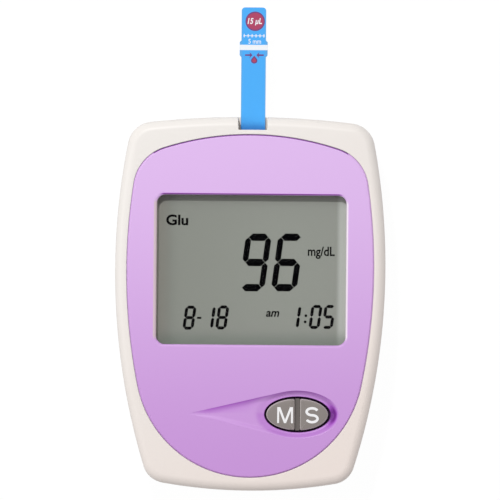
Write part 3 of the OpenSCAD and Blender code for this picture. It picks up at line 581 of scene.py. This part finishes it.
def rounded_box(w, l, r, z, y=0.0, x=0.0):
    """A rectangle with round corners, as a ring of evenly split sides."""
    corner, side, points = 10, 12, []
    for i, (sx, sy) in enumerate(((1, -1), (1, 1), (-1, 1), (-1, -1))):
        cx, cy = sx * (w / 2 - r), sy * (l / 2 - r)
        for j in range(corner + 1):
            a = radians(-90 + 90 * i + 90 * j / corner)
            points.append((cx + r * cos(a), cy + r * sin(a)))
        nx, ny = ((1, 1), (-1, 1), (-1, -1), (1, -1))[i]
        ex, ey = nx * (w / 2 - r), ny * (l / 2 - r)
        a = radians(90 * i)
        start, end = points[-1], (ex + r * cos(a), ey + r * sin(a))
        for j in range(1, side):
            points.append(tuple(start[k] + (end[k] - start[k]) * j / side for k in (0, 1)))
    return [(px + x, py + y, z) for px, py in points]


def disc(x, y, r, count):
    return [(x + r * cos(2 * pi * j / count), y + r * sin(2 * pi * j / count)) for j in range(count)]


def inside(p, loop):
    """True if the point lies inside the closed loop."""
    hit = False
    for i in range(len(loop)):
        (x0, y0), (x1, y1) = loop[i - 1][:2], loop[i][:2]
        if (y0 > p[1]) != (y1 > p[1]) and p[0] < (x1 - x0) * (p[1] - y0) / (y1 - y0) + x0:
            hit = not hit
    return hit


def fill(loops, extra, height, upward=True):
    """A triangulated sheet between the first loop and the others, with extra
    points inside; height gives z, and the loops keep their own."""
    flat, edges, z = [], [], []
    for loop in loops:
        start = len(flat)
        flat += [Vector(p[:2]) for p in loop]
        z += [p[2] for p in loop]
        edges += [(start + j, start + (j + 1) % len(loop)) for j in range(len(loop))]
    flat += [Vector(p[:2]) for p in extra]
    z += [height(*p[:2]) if len(p) == 2 else p[2] for p in extra]
    points, _, faces, origin, _, _ = delaunay_2d_cdt(flat, edges, [], 0, 1e-5, True)
    levels = [z[o[0]] if o else height(*p) for p, o in zip(points, origin)]
    kept = []
    for f in faces:
        c = [sum(points[i][k] for i in f) / 3 for k in (0, 1)]
        if inside(c, loops[0]) and not any(inside(c, hole) for hole in loops[1:]):
            kept.append(tuple(f) if upward else tuple(f)[::-1])
    return [(p[0], p[1], h) for p, h in zip(points, levels)], kept


def joined(*parts):
    """Puts several (points, faces) together; doubles are merged later."""
    points, faces = [], []
    for p, f in parts:
        base = len(points)
        points += p
        faces += [tuple(base + i for i in one) for one in f]
    return points, faces


# ---- front housing

def centres(node):
    """Middles, seen from above, of the separate solids of a CAD node, in millimetres."""
    groups = []
    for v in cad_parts[node].data.vertices:
        p = v.co / MM
        home = next((g for g in groups if (g[0].xy - p.xy).length < 8), None)
        if home:
            home.append(p)
        else:
            groups.append([p])
    return [[(min(p[k] for p in g) + max(p[k] for p in g)) / 2 for k in (0, 1)] for g in groups]


def rods(places, d, z0, z1):
    """Round upright bars of one diameter, as one (points, faces)."""
    return joined(*[skin([[(x, y, z) for x, y in disc(*p, d / 2, 32)] for z in (z0, z1)])
                    for p in places])


def front_shell():
    """The front housing with finely rounded edges, its sunk bed with the openings
    for the display and the keys, its screw pillars and the notch for the strip."""
    r, lip_r, step_z = FRONT_ROUND, 0.2, PART_Z + 1.25
    inner = [ring(BODY, WALL, WEB_Z), ring(BODY, WALL, step_z), ring(BODY, WALL / 2, step_z),
             ring(BODY, WALL / 2, PART_Z)]
    outer = [ring(BODY, 0.22, PART_Z), ring(BODY, 0.12, PART_Z + 0.06), ring(BODY, 0, PART_Z + 0.2)]
    outer += [ring(BODY, 0, z) for z in (13, 15.5, 18)]
    outer += [ring(BODY, r * i, TOP - r + r * u) for i, u in quarter(9)]
    lip = [face_ring(-SEAM - lip_r * (1 - sin(a)), TOP - lip_r * (1 - cos(a)))
           for a in (pi / 8 * k for k in range(5))]
    bed = lip + [face_ring(-SEAM, FACE_Z)]
    parts = joined(skin(inner + outer, last=False), fill([outer[-1], lip[0]], [], lambda x, y: TOP),
                   skin(bed, first=False))
    shell = make("front_shell", *parts, cream, None, None)

    def shape(parts, operation="DIFFERENCE"):
        cut(shell, make("cutter", *parts, cream, None, None), operation)

    w, l, wy, wr = WINDOW
    pillars, posts = centres("case_screws"), centres("board_screws")
    board = level("main_board", 1)
    shape(rods(pillars, PILLAR_D, PART_Z + 0.02, WEB_Z + 0.7), "UNION")
    shape(rods(posts, POST_D, board, WEB_Z + 0.7), "UNION")
    shape(skin([rounded_box(w + 0.6, l + 0.6, wr, z, wy) for z in (WEB_Z - 1, FACE_Z + 0.3)]))
    shape(skin([key_oval(MAT_LAP, z) for z in (WEB_Z - 1, FACE_Z + 0.3)]))
    back, sill, front, under = PORT_Y - 2, PORT_Y - 0.8, BODY[1] / 2 - 0.4, PART_Z + 1.4
    profile = [(back, PORT_LOW), (sill, PORT_LOW), (sill, under), (front, under), (front, PORT_HIGH),
               (back, PORT_HIGH)]
    half = PORT_BLOCK_W / 2
    shape(skin([[(STRIP_X + x, y, z) for y, z in profile] for x in (-half, half)]), "UNION")
    near, far = NOTCH_W / 2 - 0.1, NOTCH_W / 2 + 0.12
    notch = [(-near, PORT_Y), (near, PORT_Y), (far, NOTCH_END), (-far, NOTCH_END)]
    shape(skin([[(x + STRIP_X, y, z) for x, y in notch] for z in (NOTCH_Z, ABOVE)]))
    slot_w, slot_l, slot_r, slot_y = SLOT
    shape(skin([rounded_box(slot_w, slot_l, slot_r, z, slot_y, STRIP_X)
                for z in (STRIP_Z - 0.2, STRIP_TOP + 0.4)]))
    shape(rods(pillars, CASE_BORE, PART_Z - 1, WEB_Z - 1))
    shape(rods(posts, BOARD_BORE, board - 1, WEB_Z - 1))
    shape(rods(PINS, PIN_D + 0.3, FACE_Z - PIN_L - 0.15, FACE_Z + 0.3))
    soften_notch(shell)
    tidy(shell)
    weigh(shell)
    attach(shell, "meter")
    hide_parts("front_housing")


def soften_notch(shell):
    """Rounds the edges that the notch cut, the lips on the front face more."""
    reach, from_y, to_y = 3.75, 40.9, 44.2
    wall_z, lip_z, top_z = 14.4, 19.9, 99
    bm = bmesh.new()
    bm.from_mesh(shell.data)
    bmesh.ops.remove_doubles(bm, verts=bm.verts, dist=2e-6)
    for width, low, high in ((0.55, lip_z, top_z), (0.2, wall_z, lip_z)):
        edges = []
        for e in bm.edges:
            m = (e.verts[0].co + e.verts[1].co) / (2 * MM)
            near = abs(m.x - STRIP_X) < reach and from_y < m.y < to_y and low < m.z < high
            if near and len(e.link_faces) == 2 and e.calc_face_angle() > radians(35):
                edges.append(e)
        bmesh.ops.bevel(bm, geom=edges, offset=width * MM, segments=3, profile=0.5, affect="EDGES",
                        clamp_overlap=True)
    bm.to_mesh(shell.data)
    bm.free()


# ---- faceplate

def dish_ring(f):
    """One ring of the dish's wall: an oval drawn out to a tip. f goes from 0 at
    the rim to 1 at the foot."""
    count, tail = 96, 22
    x0, y0 = KEYS[:2]
    key_a, key_b = KEYS[2] / 2 + ROLL, KEYS[3] / 2 + ROLL
    a, b, tip = DISH[0] / 2, DISH[1] / 2, DISH[2]
    t = acos(-a / tip)
    rim = [(a * cos(s), b * sin(s), s) for s in (t * (2 * j / count - 1) for j in range(count + 1))]
    high = [(rim[-1][0] + (-tip - rim[-1][0]) * j / tail, rim[-1][1] * (1 - j / tail), t)
            for j in range(1, tail)]
    rim += high + [(-tip, 0, pi)] + [(u, -v, -s) for u, v, s in reversed(high)]
    points = []
    for u, v, s in rim:
        up = sin(s)
        reach = smooth((u + tip) / 7)
        out = Vector((cos(s) * b, sin(s) * a)).normalized()
        room = hypot(a * out.x, b * out.y) - hypot(key_a * out.x, key_b * out.y)
        width = 0.92 * room * reach
        if u < 0:
            width = min(width, 0.8 * abs(v))
        x, y = x0 + u - out.x * width * f, y0 + v - out.y * width * f
        crisp = smooth(0.9 * up)
        share = (1 - crisp) * smooth(f) + crisp * (1 - (1 - min(1, max(0, f))) ** 1.6)
        points.append((x, y, TOP - dish_floor(x, y) * share))
    return points


def smooth(u):
    u = min(1.0, max(0.0, u))
    return u * u * (3 - 2 * u)


def dish_floor(x, y):
    """Depth of the dish's tilted floor, deeper round the oval's left end."""
    u, v = x - KEYS[0], y - KEYS[1]
    plane = DISH_DEPTH * (u + DISH[2]) / (DISH[0] / 2 + DISH[2]) + v * tan(radians(DISH_TILT))
    oval = 1 - hypot(u / (DISH[0] / 2), v / (DISH[1] / 2))
    return max(0.0, plane) + 0.2 * smooth(oval * 7.5) * smooth(-u / 7 + 0.25)


def paint(piece, name, value_at):
    """Stores a value on every point, for the material to read."""
    layer = piece.data.attributes.new(name, "FLOAT", "POINT")
    for v, slot in zip(piece.data.vertices, layer.data):
        slot.value = value_at(*(c / MM for c in v.co))


def hollow_shade_at(x, y, z, rim_line):
    """How much painted shade the plate gets: along the dish's crease, in the bowl round the keys, as a
    painted shadow of the right key on the dish's right wall, in the gap beside the keys and on the window's
    upper wall."""
    if z > TOP - 0.004:
        return 0.0
    w, l, wy, _ = WINDOW
    if y - wy > l / 2 - BEVEL * 0.8 and abs(x) < w / 2:
        return 0.8 * smooth((TOP - z) / 0.05)
    u, v = x - KEYS[0], y - KEYS[1]
    if not inside((x, y), rim_line):
        return 0.0
    if hypot(u / (KEYS[2] / 2 + 0.1), v / (KEYS[3] / 2 + 0.1)) < 1:
        return 1.0
    near = min(range(len(rim_line)), key=lambda i: hypot(rim_line[i][0] - x, rim_line[i][1] - y))
    (x0, y0), (x1, y1) = rim_line[near - 1][:2], rim_line[(near + 1) % len(rim_line)][:2]
    long = hypot(x1 - x0, y1 - y0)
    out_x, out_y = (y1 - y0) / long, -(x1 - x0) / long
    away = hypot(rim_line[near][0] - x, rim_line[near][1] - y)
    right, along_tail = smooth((out_x - 0.4) / 0.6), smooth((-u - 7) / 6)
    crease = (0.06 + 0.5 * max(0.0, out_y) ** 2) * exp(-away / (0.3 + 0.7 * along_tail))
    # painted shadow of the right key on the dish's right wall
    side = 0.66 * right * smooth(away / 1.1)
    oval = hypot(u / (DISH[0] / 2), v / (DISH[1] / 2))
    bowl = (0.22 - 0.13 * max(0.0, out_y)) * smooth((1.04 - oval) / 0.12)
    return min(0.84, (crease * (1 - right) + side + bowl) * smooth((u + DISH[2]) / 6))


def bevel_highlight_at(x, y, z):
    """How much painted highlight the window's bevel gets: only along its left and right sides."""
    w, l, wy, wr = WINDOW
    if z > TOP - 0.004 or abs(abs(x) - w / 2 + BEVEL / 2) > BEVEL + LEFT_LEAN:
        return 0.0
    return smooth((l / 2 - wr * 0.6 - abs(y - wy)) / 1.5)


def key_oval(grow, z=None, drop=0.0):
    """The key opening's edge, at height z or else that far below the dish's floor."""
    a, b = KEYS[2] / 2 + grow, KEYS[3] / 2 + grow
    count, points = 96, []
    for j in range(count):
        t = 2 * pi * j / count
        x, y = KEYS[0] + a * cos(t), KEYS[1] + b * sin(t)
        points.append((x, y, TOP - dish_floor(x, y) - drop if z is None else z))
    return points


def leaned(one):
    """A ring of the window's wall with its left side drawn in, the more the deeper
    it lies on the bevel, and its right side a little further out."""
    down = min(1, (WINDOW[0] / 2 + min(p[0] for p in one)) / BEVEL)
    return [(x + LEFT_LEAN * down * smooth(-x / 10) + RIGHT_OUT * smooth(x / 10), y, z) for x, y, z in one]


def faceplate_piece():
    """The lilac plate: rounded rim, bevelled window, lens seat, key opening and
    the dish with its tail, all one closed skin."""
    rim = [face_ring(-0.15, FACE_Z), face_ring(-0.15, TOP - 0.4), face_ring(0, TOP - 0.4)] + [
        face_ring(0.2 * i, TOP - 0.2 + 0.2 * u) for i, u in quarter(4)] + [face_ring(0.4, TOP)]
    w, l, wy, wr = WINDOW
    seat_w, seat_l, seat_z = w + 1.9, l + 1.9, LENS_TOP + 0.05
    window = [rounded_box(w + 0.4, l + 0.4, wr + BEVEL + 0.2, TOP, wy)]
    for a in (pi / 12 * k for k in range(7)):
        back = 2 * BEVEL * sin(a)
        window.append(rounded_box(w - back, l - back, wr + BEVEL - back / 2,
                                  TOP - BEVEL * (1 - cos(a)), wy))
    window.append(rounded_box(w - 2 * BEVEL, l - 2 * BEVEL, wr, seat_z, wy))
    window[1:] = [leaned(one) for one in window[1:]]
    window += [rounded_box(seat_w, seat_l, wr, z, wy) for z in (seat_z, FACE_Z)]
    key = [key_oval(ROLL * (1 - sin(a)), drop=ROLL * (1 - cos(a)))
           for a in (pi / 8 * k for k in range(5))] + [key_oval(0, FACE_Z)]
    wall = [dish_ring(f) for f in (-0.1, 0, 0.05, 0.12, 0.2, 0.3, 0.4, 0.5, 0.6, 0.7, 0.8, 0.9, 1)]
    spots, limit, hold = [], face_ring(0.9, TOP), dish_ring(-0.4)
    for i in range(-9, 10):
        for j in range(-13, 14):
            p = (i * 3.1, j * 3.05)
            box = abs(p[0]) < w / 2 + 0.6 and abs(p[1] - wy) < l / 2 + 0.6
            if inside(p, limit) and not box and not inside(p, hold):
                spots.append((*p, TOP))
    hollow, foot, mouth = [], dish_ring(1.15), key_oval(0.4)
    for i in range(52):
        for j in range(20):
            p = (KEYS[0] - 26 + i * 0.7, KEYS[1] - 6 + j * 0.6)
            if inside(p, foot) and not inside(p, mouth):
                hollow.append((*p, TOP - dish_floor(*p)))
    parts = joined(
        fill([rim[-1], window[0], wall[0]], spots, lambda x, y: TOP),
        fill([wall[-1], key[0]], hollow, lambda x, y: TOP - dish_floor(x, y)),
        fill([rim[0], window[-1], key[-1]], [], lambda x, y: FACE_Z, upward=False),
        *[skin(rings, False, False) for rings in (rim, window, key, wall)])
    plate = make("face_plate", *parts, lilac, "meter", "faceplate", angle=40)
    cut(plate, make("pins", *rods(PINS, PIN_D, FACE_Z - PIN_L, FACE_Z + 0.45), lilac, None, None), "UNION")
    tidy(plate, 40)
    weigh(plate)
    rim_line = dish_ring(0)
    # painted shade in the dish, the gap round the keys and on the window's upper wall
    paint(plate, "hollow", lambda x, y, z: hollow_shade_at(x, y, z, rim_line))
    # painted highlight on the window's left and right bevels
    paint(plate, "bevel_highlight", bevel_highlight_at)
    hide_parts("faceplate")


# ---- keys

def half_oval(side, grow):
    """One key's outline on that side (-1 left, 1 right), grown outwards by grow
    except towards the other key, with its two ends rounded."""
    a, b, e, r, count = 7.26 - 0.06 * side, 3.72, 0.6, 0.35, 40
    t = acos((e + r) / a)
    arc = [(a * cos(s), b * sin(s)) for s in (t * (2 * j / count - 1) for j in range(count + 1))]
    y_end = b * sin(acos(e / a)) - r * 1.3
    top = [(e + r * (1 - sin(q)), y_end + (arc[-1][1] - y_end) * cos(q))
           for q in (pi / 12 * k for k in range(1, 7))]
    low = [(x, -y) for x, y in reversed(top)]
    flat = [(e, y_end - 2 * y_end * k / 12) for k in range(1, 12)]
    points = arc + top + flat + low
    shape = []
    for i, (x, y) in enumerate(points):
        (x0, y0), (x1, y1) = points[i - 1], points[(i + 1) % len(points)]
        n = hypot(x1 - x0, y1 - y0)
        shape.append((KEYS[0] + side * max(e, x + grow * (y1 - y0) / n), KEYS[1] + y - grow * (x1 - x0) / n))
    return shape


def key_piece(name, node, side, body):
    """A key with a rolled upper edge, a slightly crowned top and its flange."""
    r, crown, flange_top = 0.32, 0.05, FLANGE_Z + 0.5
    rings = [(0.6, FLANGE_Z), (0.6, flange_top), (0, flange_top), (0, 20.4)]
    rings += [(-r * i, KEY_TOP - crown - r + r * u) for i, u in quarter(5)]
    shape = [[(x, y, z) for x, y in half_oval(side, grow)] for grow, z in rings]
    edge = shape[-1]
    middle = [sum(p[k] for p in edge) / len(edge) for k in (0, 1)]
    for share in (0.8, 0.5, 0.2):
        shape.append([(middle[0] + (x - middle[0]) * share, middle[1] + (y - middle[1]) * share,
                       KEY_TOP - crown * share ** 2) for x, y, _ in edge])
    key = make(name, *skin(shape), key_plastic, body, "key")
    # rim holds a painted highlight on each key's rolled edge, left off the M key's edge beside the groove,
    # which stays in shade
    paint(key, "rim", lambda x, y, z: 0.75 * smooth((KEY_TOP - crown - 0.01 - z) / 0.12)
          * (side > 0 or x - KEYS[0] < -1.6))
    weigh(key)
    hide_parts(node)


# ---- lettering

def plate(name, outlines, z, thick, material, body, slot):
    """Flat printed shapes as thin closed prisms."""
    parts = []
    for shape in outlines:
        area = sum(shape[i - 1][0] * p[1] - p[0] * shape[i - 1][1] for i, p in enumerate(shape))
        shape = shape if area > 0 else shape[::-1]
        parts.append(skin([[(x, y, h) for x, y in shape] for h in (z, z + thick)]))
    return make(name, *joined(*parts), material, body, slot, angle=20)


def words(name, text, box, z, thick, material, body, slot, shear=0.0, bold=0.0):
    """Generic lettering, fitted to box = (x0, y0, x1, y1) in millimetres."""
    curve = bpy.data.curves.new(name, "FONT")
    curve.body = text
    curve.shear = shear
    curve.offset = bold
    curve.extrude = 0.5
    curve.resolution_u = 6
    carrier = linked(name + "_text", curve)
    mesh = bpy.data.meshes.new_from_object(carrier.evaluated_get(bpy.context.evaluated_depsgraph_get()))
    bpy.data.objects.remove(carrier)
    low = [min(v.co[k] for v in mesh.vertices) for k in range(3)]
    high = [max(v.co[k] for v in mesh.vertices) for k in range(3)]
    start, size = (box[0], box[1], z), (box[2] - box[0], box[3] - box[1], thick)
    for v in mesh.vertices:
        v.co = [(start[k] + size[k] * (v.co[k] - low[k]) / (high[k] - low[k])) * MM for k in range(3)]
    mesh.materials.clear()
    mesh.materials.append(material)
    for face in mesh.polygons:
        face.material_index = 0
    return set_up(name, mesh, body, 20)


PIXEL, TILT = 0.236, 0.0087


def place(px, py):
    """A place on the front face, from a place in the 500 by 500 view."""
    u, v = (px - 249.9847) * PIXEL, (303.8117 - py) * PIXEL
    return (u * cos(TILT) - v * sin(TILT), u * sin(TILT) + v * cos(TILT))


def box_at(x0, y0, x1, y1):
    """The upright box, in millimetres, of a box in the view (left, top, right, bottom)."""
    cx, cy = place((x0 + x1) / 2, (y0 + y1) / 2)
    w, h = (x1 - x0) * PIXEL, (y1 - y0) * PIXEL
    return (cx - w / 2, cy - h / 2, cx + w / 2, cy + h / 2)


SEGMENTS = {"0": "abcdef", "1": "bc", "5": "acdfg", "6": "acdefg", "8": "abcdefg", "9": "abcdfg"}


def digit(char, x, y, w, h, tv, th, gap, lean):
    """Seven-segment shapes of one digit; x, y is its lower left corner."""
    def bar(x0, x1, yc):
        k, g = th / 2, gap
        return [(x0 + g, yc), (x0 + g + k, yc + k), (x1 - g - k, yc + k), (x1 - g, yc),
                (x1 - g - k, yc - k), (x0 + g + k, yc - k)]

    def post(xc, y0, y1):
        k, g = tv / 2, gap
        return [(xc, y0 + g), (xc + k, y0 + g + k), (xc + k, y1 - g - k), (xc, y1 - g),
                (xc - k, y1 - g - k), (xc - k, y0 + g + k)]

    left, right, low, mid, high = tv / 2, w - tv / 2, th / 2, h / 2, h - th / 2
    shapes = {"a": bar(left, right, high), "g": bar(left, right, mid), "d": bar(left, right, low),
              "f": post(left, mid, high), "b": post(right, mid, high),
              "e": post(left, low, mid), "c": post(right, low, mid)}
    result = []
    for key in SEGMENTS[char]:
        result.append([(x + px + lean * py, y + py) for px, py in shapes[key]])
    return result


def row(digits, *sizes):
    """The segments of several digits of one size, each at its place in the view."""
    return [shape for char, px, py in digits for shape in digit(char, *place(px, py), *sizes)]


def display_marks():
    """Date, time, reading, units and label on the display film."""
    ink = display_ink("segment_ink", rgb(4, 3, 5))
    small = display_ink("small_segment_ink", rgb(14, 12, 14))
    coat, onto = (FILM_TOP + 0.01, 0.03), ("meter", "display")
    big = row((("9", 238.2, 291.2), ("6", 270.6, 291.2)), 6.1, 13.64, 1.36, 1.72, 0.07, 0.13)
    plate("reading", big, *coat, ink, *onto)
    little = row((("8", 182.2, 329.6), ("1", 201.6, 329.4), ("8", 215.0, 329.4), ("1", 287.3, 329.0),
                  ("0", 308.3, 328.9), ("5", 321.5, 328.9)), 2.62, 5.66, 0.71, 0.72, 0.04, 0.13)
    x, y = place(199.1, 317.9)
    little.append([(x - 0.52, y - 0.23), (x + 0.48, y - 0.23), (x + 0.54, y + 0.23), (x - 0.46, y + 0.23)])
    for px, py in ((305.9, 315.7), (305.2, 321.9)):
        little.append(disc(*place(px, py), 0.32, 20))
    plate("date_and_time", little, *coat, small, *onto)
    words("label", "Glu", box_at(166.2, 214.5, 188.2, 225.2), *coat, small, *onto, bold=0.028)
    words("units", "mg/dL", box_at(307.9, 246.6, 334.8, 258.9), *coat, small, *onto, bold=0.018)
    words("half_day", "am", box_at(266.0, 311.0, 279.3, 316.9), *coat, small, *onto, shear=0.22, bold=0.02)


def key_marks():
    """The letters M and S, standing a little above the tops of the keys."""
    coat = (KEY_TOP, 0.03)
    x0, y0, x1, y1 = box_at(277.2, 407.0, 292.9, 423.0)
    w, h = x1 - x0, y1 - y0
    stem, peak, foot, joint = 0.45, 0.72, 0.24, 2.95
    left = [(0, 0), (0, h), (peak, h), (w / 2, 0.8)]
    inner = [(stem, 0), (stem, joint), (w / 2 - foot, 0)]
    right = [(w - x, y) for x, y in reversed(left[:3])]
    low = [(w - x, y) for x, y in inner] + inner[::-1]
    letter_m = [(x0 + x, y0 + y) for x, y in left + right + low]
    letter_s = stroked_s(box_at(305.3, 406.9, 318.8, 423.3), 0.6)
    plate("letter_m", [letter_m], *coat, key_print, "memory_key", "key")
    plate("letter_s", [letter_s], *coat, key_print, "set_key", "key")


def stroked_s(box, t):
    """The letter S as one stroke of width t along two bows, inside the box."""
    count, first, sweep = 24, 20, 250  # steps of a bow, its first angle and its turn
    x0, y0, x1, y1 = box
    rx, ry = (x1 - x0 - t) / 2, (y1 - y0 - t) / 4
    cx, cy = (x0 + x1) / 2, (y0 + y1) / 2
    turns = [(ry, radians(first + sweep * j / count)) for j in range(count + 1)]
    turns += [(-ry, radians(90 - sweep * j / count)) for j in range(1, count + 1)]
    path = [Vector((cx + rx * cos(a), cy + up + ry * sin(a))) for up, a in turns]
    left, right = [], []
    for i, p in enumerate(path):
        along = (path[min(i + 1, len(path) - 1)] - path[max(i - 1, 0)]).normalized()
        out = Vector((-along.y, along.x)) * t / 2
        left.append(tuple(p + out))
        right.append(tuple(p - out))
    return left + right[::-1]


def rectangle(x0, y0, x1, y1):
    return [(x0, y0), (x1, y0), (x1, y1), (x0, y1)]


def strip_marks():
    """The printing on the strip: the drop size, a scale, a band and arrows."""
    z, onto = STRIP_TOP + 0.005, ("strip", "strip_print")
    spot = place(255.2, 20.9)
    plate("spot_rim", [disc(*spot, 2.3, 56)], z, 0.012, violet_ink, *onto)
    plate("spot", [disc(*spot, 2.0, 56)], z + 0.012, 0.01, red_ink, *onto)
    words("drop_size", "15 µL", box_at(247.6, 17.7, 262.0, 25.0), z + 0.022, 0.01, white_ink, *onto,
          shear=0.2, bold=0.025)
    (x0, y0), x1 = place(243.8, 35.35), place(264.4, 35.35)[0]
    line, thin, wide, tall = 0.07, 0.05, 0.17, 0.42
    plate("scale_line", [rectangle(x0, y0 - line, x1, y0 + line)], z, 0.01, white_ink, *onto)
    ticks = []
    for k in range(6):
        x = x0 + (x1 - x0) * (k + 0.1) / 5.2
        ticks.append([(x - thin, y0 - tall), (x + thin, y0 - tall), (x + wide, y0), (x + thin, y0 + tall),
                      (x - thin, y0 + tall), (x - wide, y0)])
    plate("scale_ticks", ticks, z + 0.011, 0.01, white_ink, *onto)
    words("scale_size", "5 mm", box_at(248.4, 38.6, 261.0, 43.4), z, 0.01, white_ink, *onto, bold=0.01)
    low, high, half = place(255, 49.8)[1], place(255, 44.5)[1], 3.28
    plate("white_band", [rectangle(STRIP_X - half, low, STRIP_X + half, high)], z, 0.012, white_ink, *onto)
    arrows, upper = [], [(0, 0), (0.72, 0.74), (0.5, 0.2), (1.75, 0.17)]  # back from the tip, up
    for px, way in ((252.4, 1), (256.4, -1)):
        x, y = place(px, 54.8)
        arrows.append([(x - way * back, y + up) for back, up in upper]
                      + [(x - way * back, y - up) for back, up in upper[:0:-1]])
    plate("arrows", arrows, z, 0.012, violet_ink, *onto)
    x, y = place(254.2, 60.3)
    for name, size, lift, ink in (("drop_rim", 1.0, 0, violet_ink), ("drop", 0.62, 0.012, red_ink)):
        bow = [radians(55 + 250 * k / 24) for k in range(25)]
        drop = [(x, y + 1.17 * size)] + [(x + 0.76 * size * sin(a), y + 0.7 * size * cos(a)) for a in bow]
        plate(name, [drop], z + lift, 0.011, ink, *onto)


# ---- carried over

# Width of the rounded edges of the CAD nodes that stay, in millimetres
EDGES = {
    0.15: "back_housing battery_door",
    0.12: "strip_connector crystal battery_1 battery_2",
    0.1: "keypad_mat lcd_holder buzzer memory_plunger set_plunger",
    0.08: "display_lens case_screws",
    0.06: "main_board board_screws lcd_glass memory_switch set_switch",
    0.05: "controller_chip amplifier_chip capacitors link_contact end_contacts elastomer_strip",
    0.04: "strip_base connector_contacts",
    0.03: "strip_cover"}


def carried_over():
    """Gives each CAD node that stays its material and rounded edges."""
    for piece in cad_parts.values():
        slot = piece.material_slots[0]
        slot.material = SLOT_MATERIALS[slot.material.name.split(".")[0]]
    for width, names in EDGES.items():
        for name in names.split():
            refine(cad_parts[name], width)
    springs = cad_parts["battery_springs"]
    smoothed(springs)
    rounder = springs.modifiers.new("round", "SUBSURF")
    rounder.levels = rounder.render_levels = 1


# ---- set

def two_way(tree, output, to_light, to_eye, eye_share):
    """Two shaders in one tree: the second is what the camera and the rays that
    gloss or glass sends on see, to that share, and the first all else."""
    nodes, links = tree.nodes, tree.links
    nodes.clear()
    out, mixer, path, first, second = (
        nodes.new("ShaderNode" + kind) for kind in (output, "MixShader", "LightPath", to_light, to_eye))
    last = path.outputs["Is Camera Ray"]
    for name in ("Is Glossy Ray", "Is Transmission Ray"):
        more = nodes.new("ShaderNodeMath")
        more.operation = "MAXIMUM"
        links.new(last, more.inputs[0])
        links.new(path.outputs[name], more.inputs[1])
        last = more.outputs[0]
    share = nodes.new("ShaderNodeMath")
    share.operation = "MULTIPLY"
    share.inputs[1].default_value = eye_share
    links.new(last, share.inputs[0])
    links.new(share.outputs[0], mixer.inputs["Fac"])
    links.new(first.outputs[0], mixer.inputs[1])
    links.new(second.outputs[0], mixer.inputs[2])
    links.new(mixer.outputs[0], out.inputs["Surface"])
    return first.inputs, second.inputs


def floor_and_light():
    """A white floor and surround that show white but light the meter softly."""
    mesh = bpy.data.meshes.new("floor")
    size, low = 3.0, -0.00002
    mesh.from_pydata([(x, y, low) for x, y in rectangle(-size, -size, size, size)], [], [(0, 1, 2, 3)])
    floor = linked("floor", mesh)
    mat = bpy.data.materials.new("studio_floor")
    mat.use_nodes = True
    paper, glow = two_way(mat.node_tree, "OutputMaterial", "BsdfDiffuse", "Emission", 0.94)
    paper["Color"].default_value = (0.84, 0.84, 0.84, 1)
    glow["Color"].default_value = (1, 1, 1, 1)
    glow["Strength"].default_value = 1.03
    mesh.materials.append(mat)

    scene.world = bpy.data.worlds.new("studio")
    scene.world.use_nodes = True
    dim, bright = two_way(scene.world.node_tree, "OutputWorld", "Background", "Background", 1.0)
    dim["Color"].default_value = (0.985, 0.99, 1.0, 1)
    dim["Strength"].default_value = 0.41
    bright["Color"].default_value = (1, 1, 1, 1)
    bright["Strength"].default_value = 1.0

    aim = (0, 0.004, 0.02)
    lamp("key_light", (-0.17, 0.54, 1.1), aim, 0.08, 7.1)
    lamp("left_light", (-0.85, 0.1, 0.66), aim, 0.4, 1.9)


def lamp(name, spot, aim, size, power):
    light = bpy.data.lights.new(name, "AREA")
    light.shape = "DISK"
    light.size = size
    light.energy = power
    holder = linked(name, light)
    holder.location = spot
    holder.rotation_euler = (Vector(aim) - Vector(spot)).to_track_quat("-Z", "Y").to_euler()


def camera():
    """Straight above, from far off, turned by the half degree of the photograph."""
    data = bpy.data.cameras.new("camera")
    holder = linked("camera", data)
    height, face, width = 2.5, 0.02, 500 * PIXEL * MM
    data.sensor_width = 36
    data.lens = 36 * height / width
    data.clip_start, data.clip_end = 0.1, 20
    holder.location = (-0.000107, 0.0127, face + height)
    holder.rotation_euler = (0, 0, TILT)
    scene.camera = holder


camera()
floor_and_light()
scene.view_settings.view_transform = "Standard"
carried_over()
front_shell()
faceplate_piece()
key_piece("memory_key_cap", "memory_button", -1, "memory_key")
key_piece("set_key_cap", "set_button", 1, "set_key")
display_marks()
key_marks()
strip_marks()
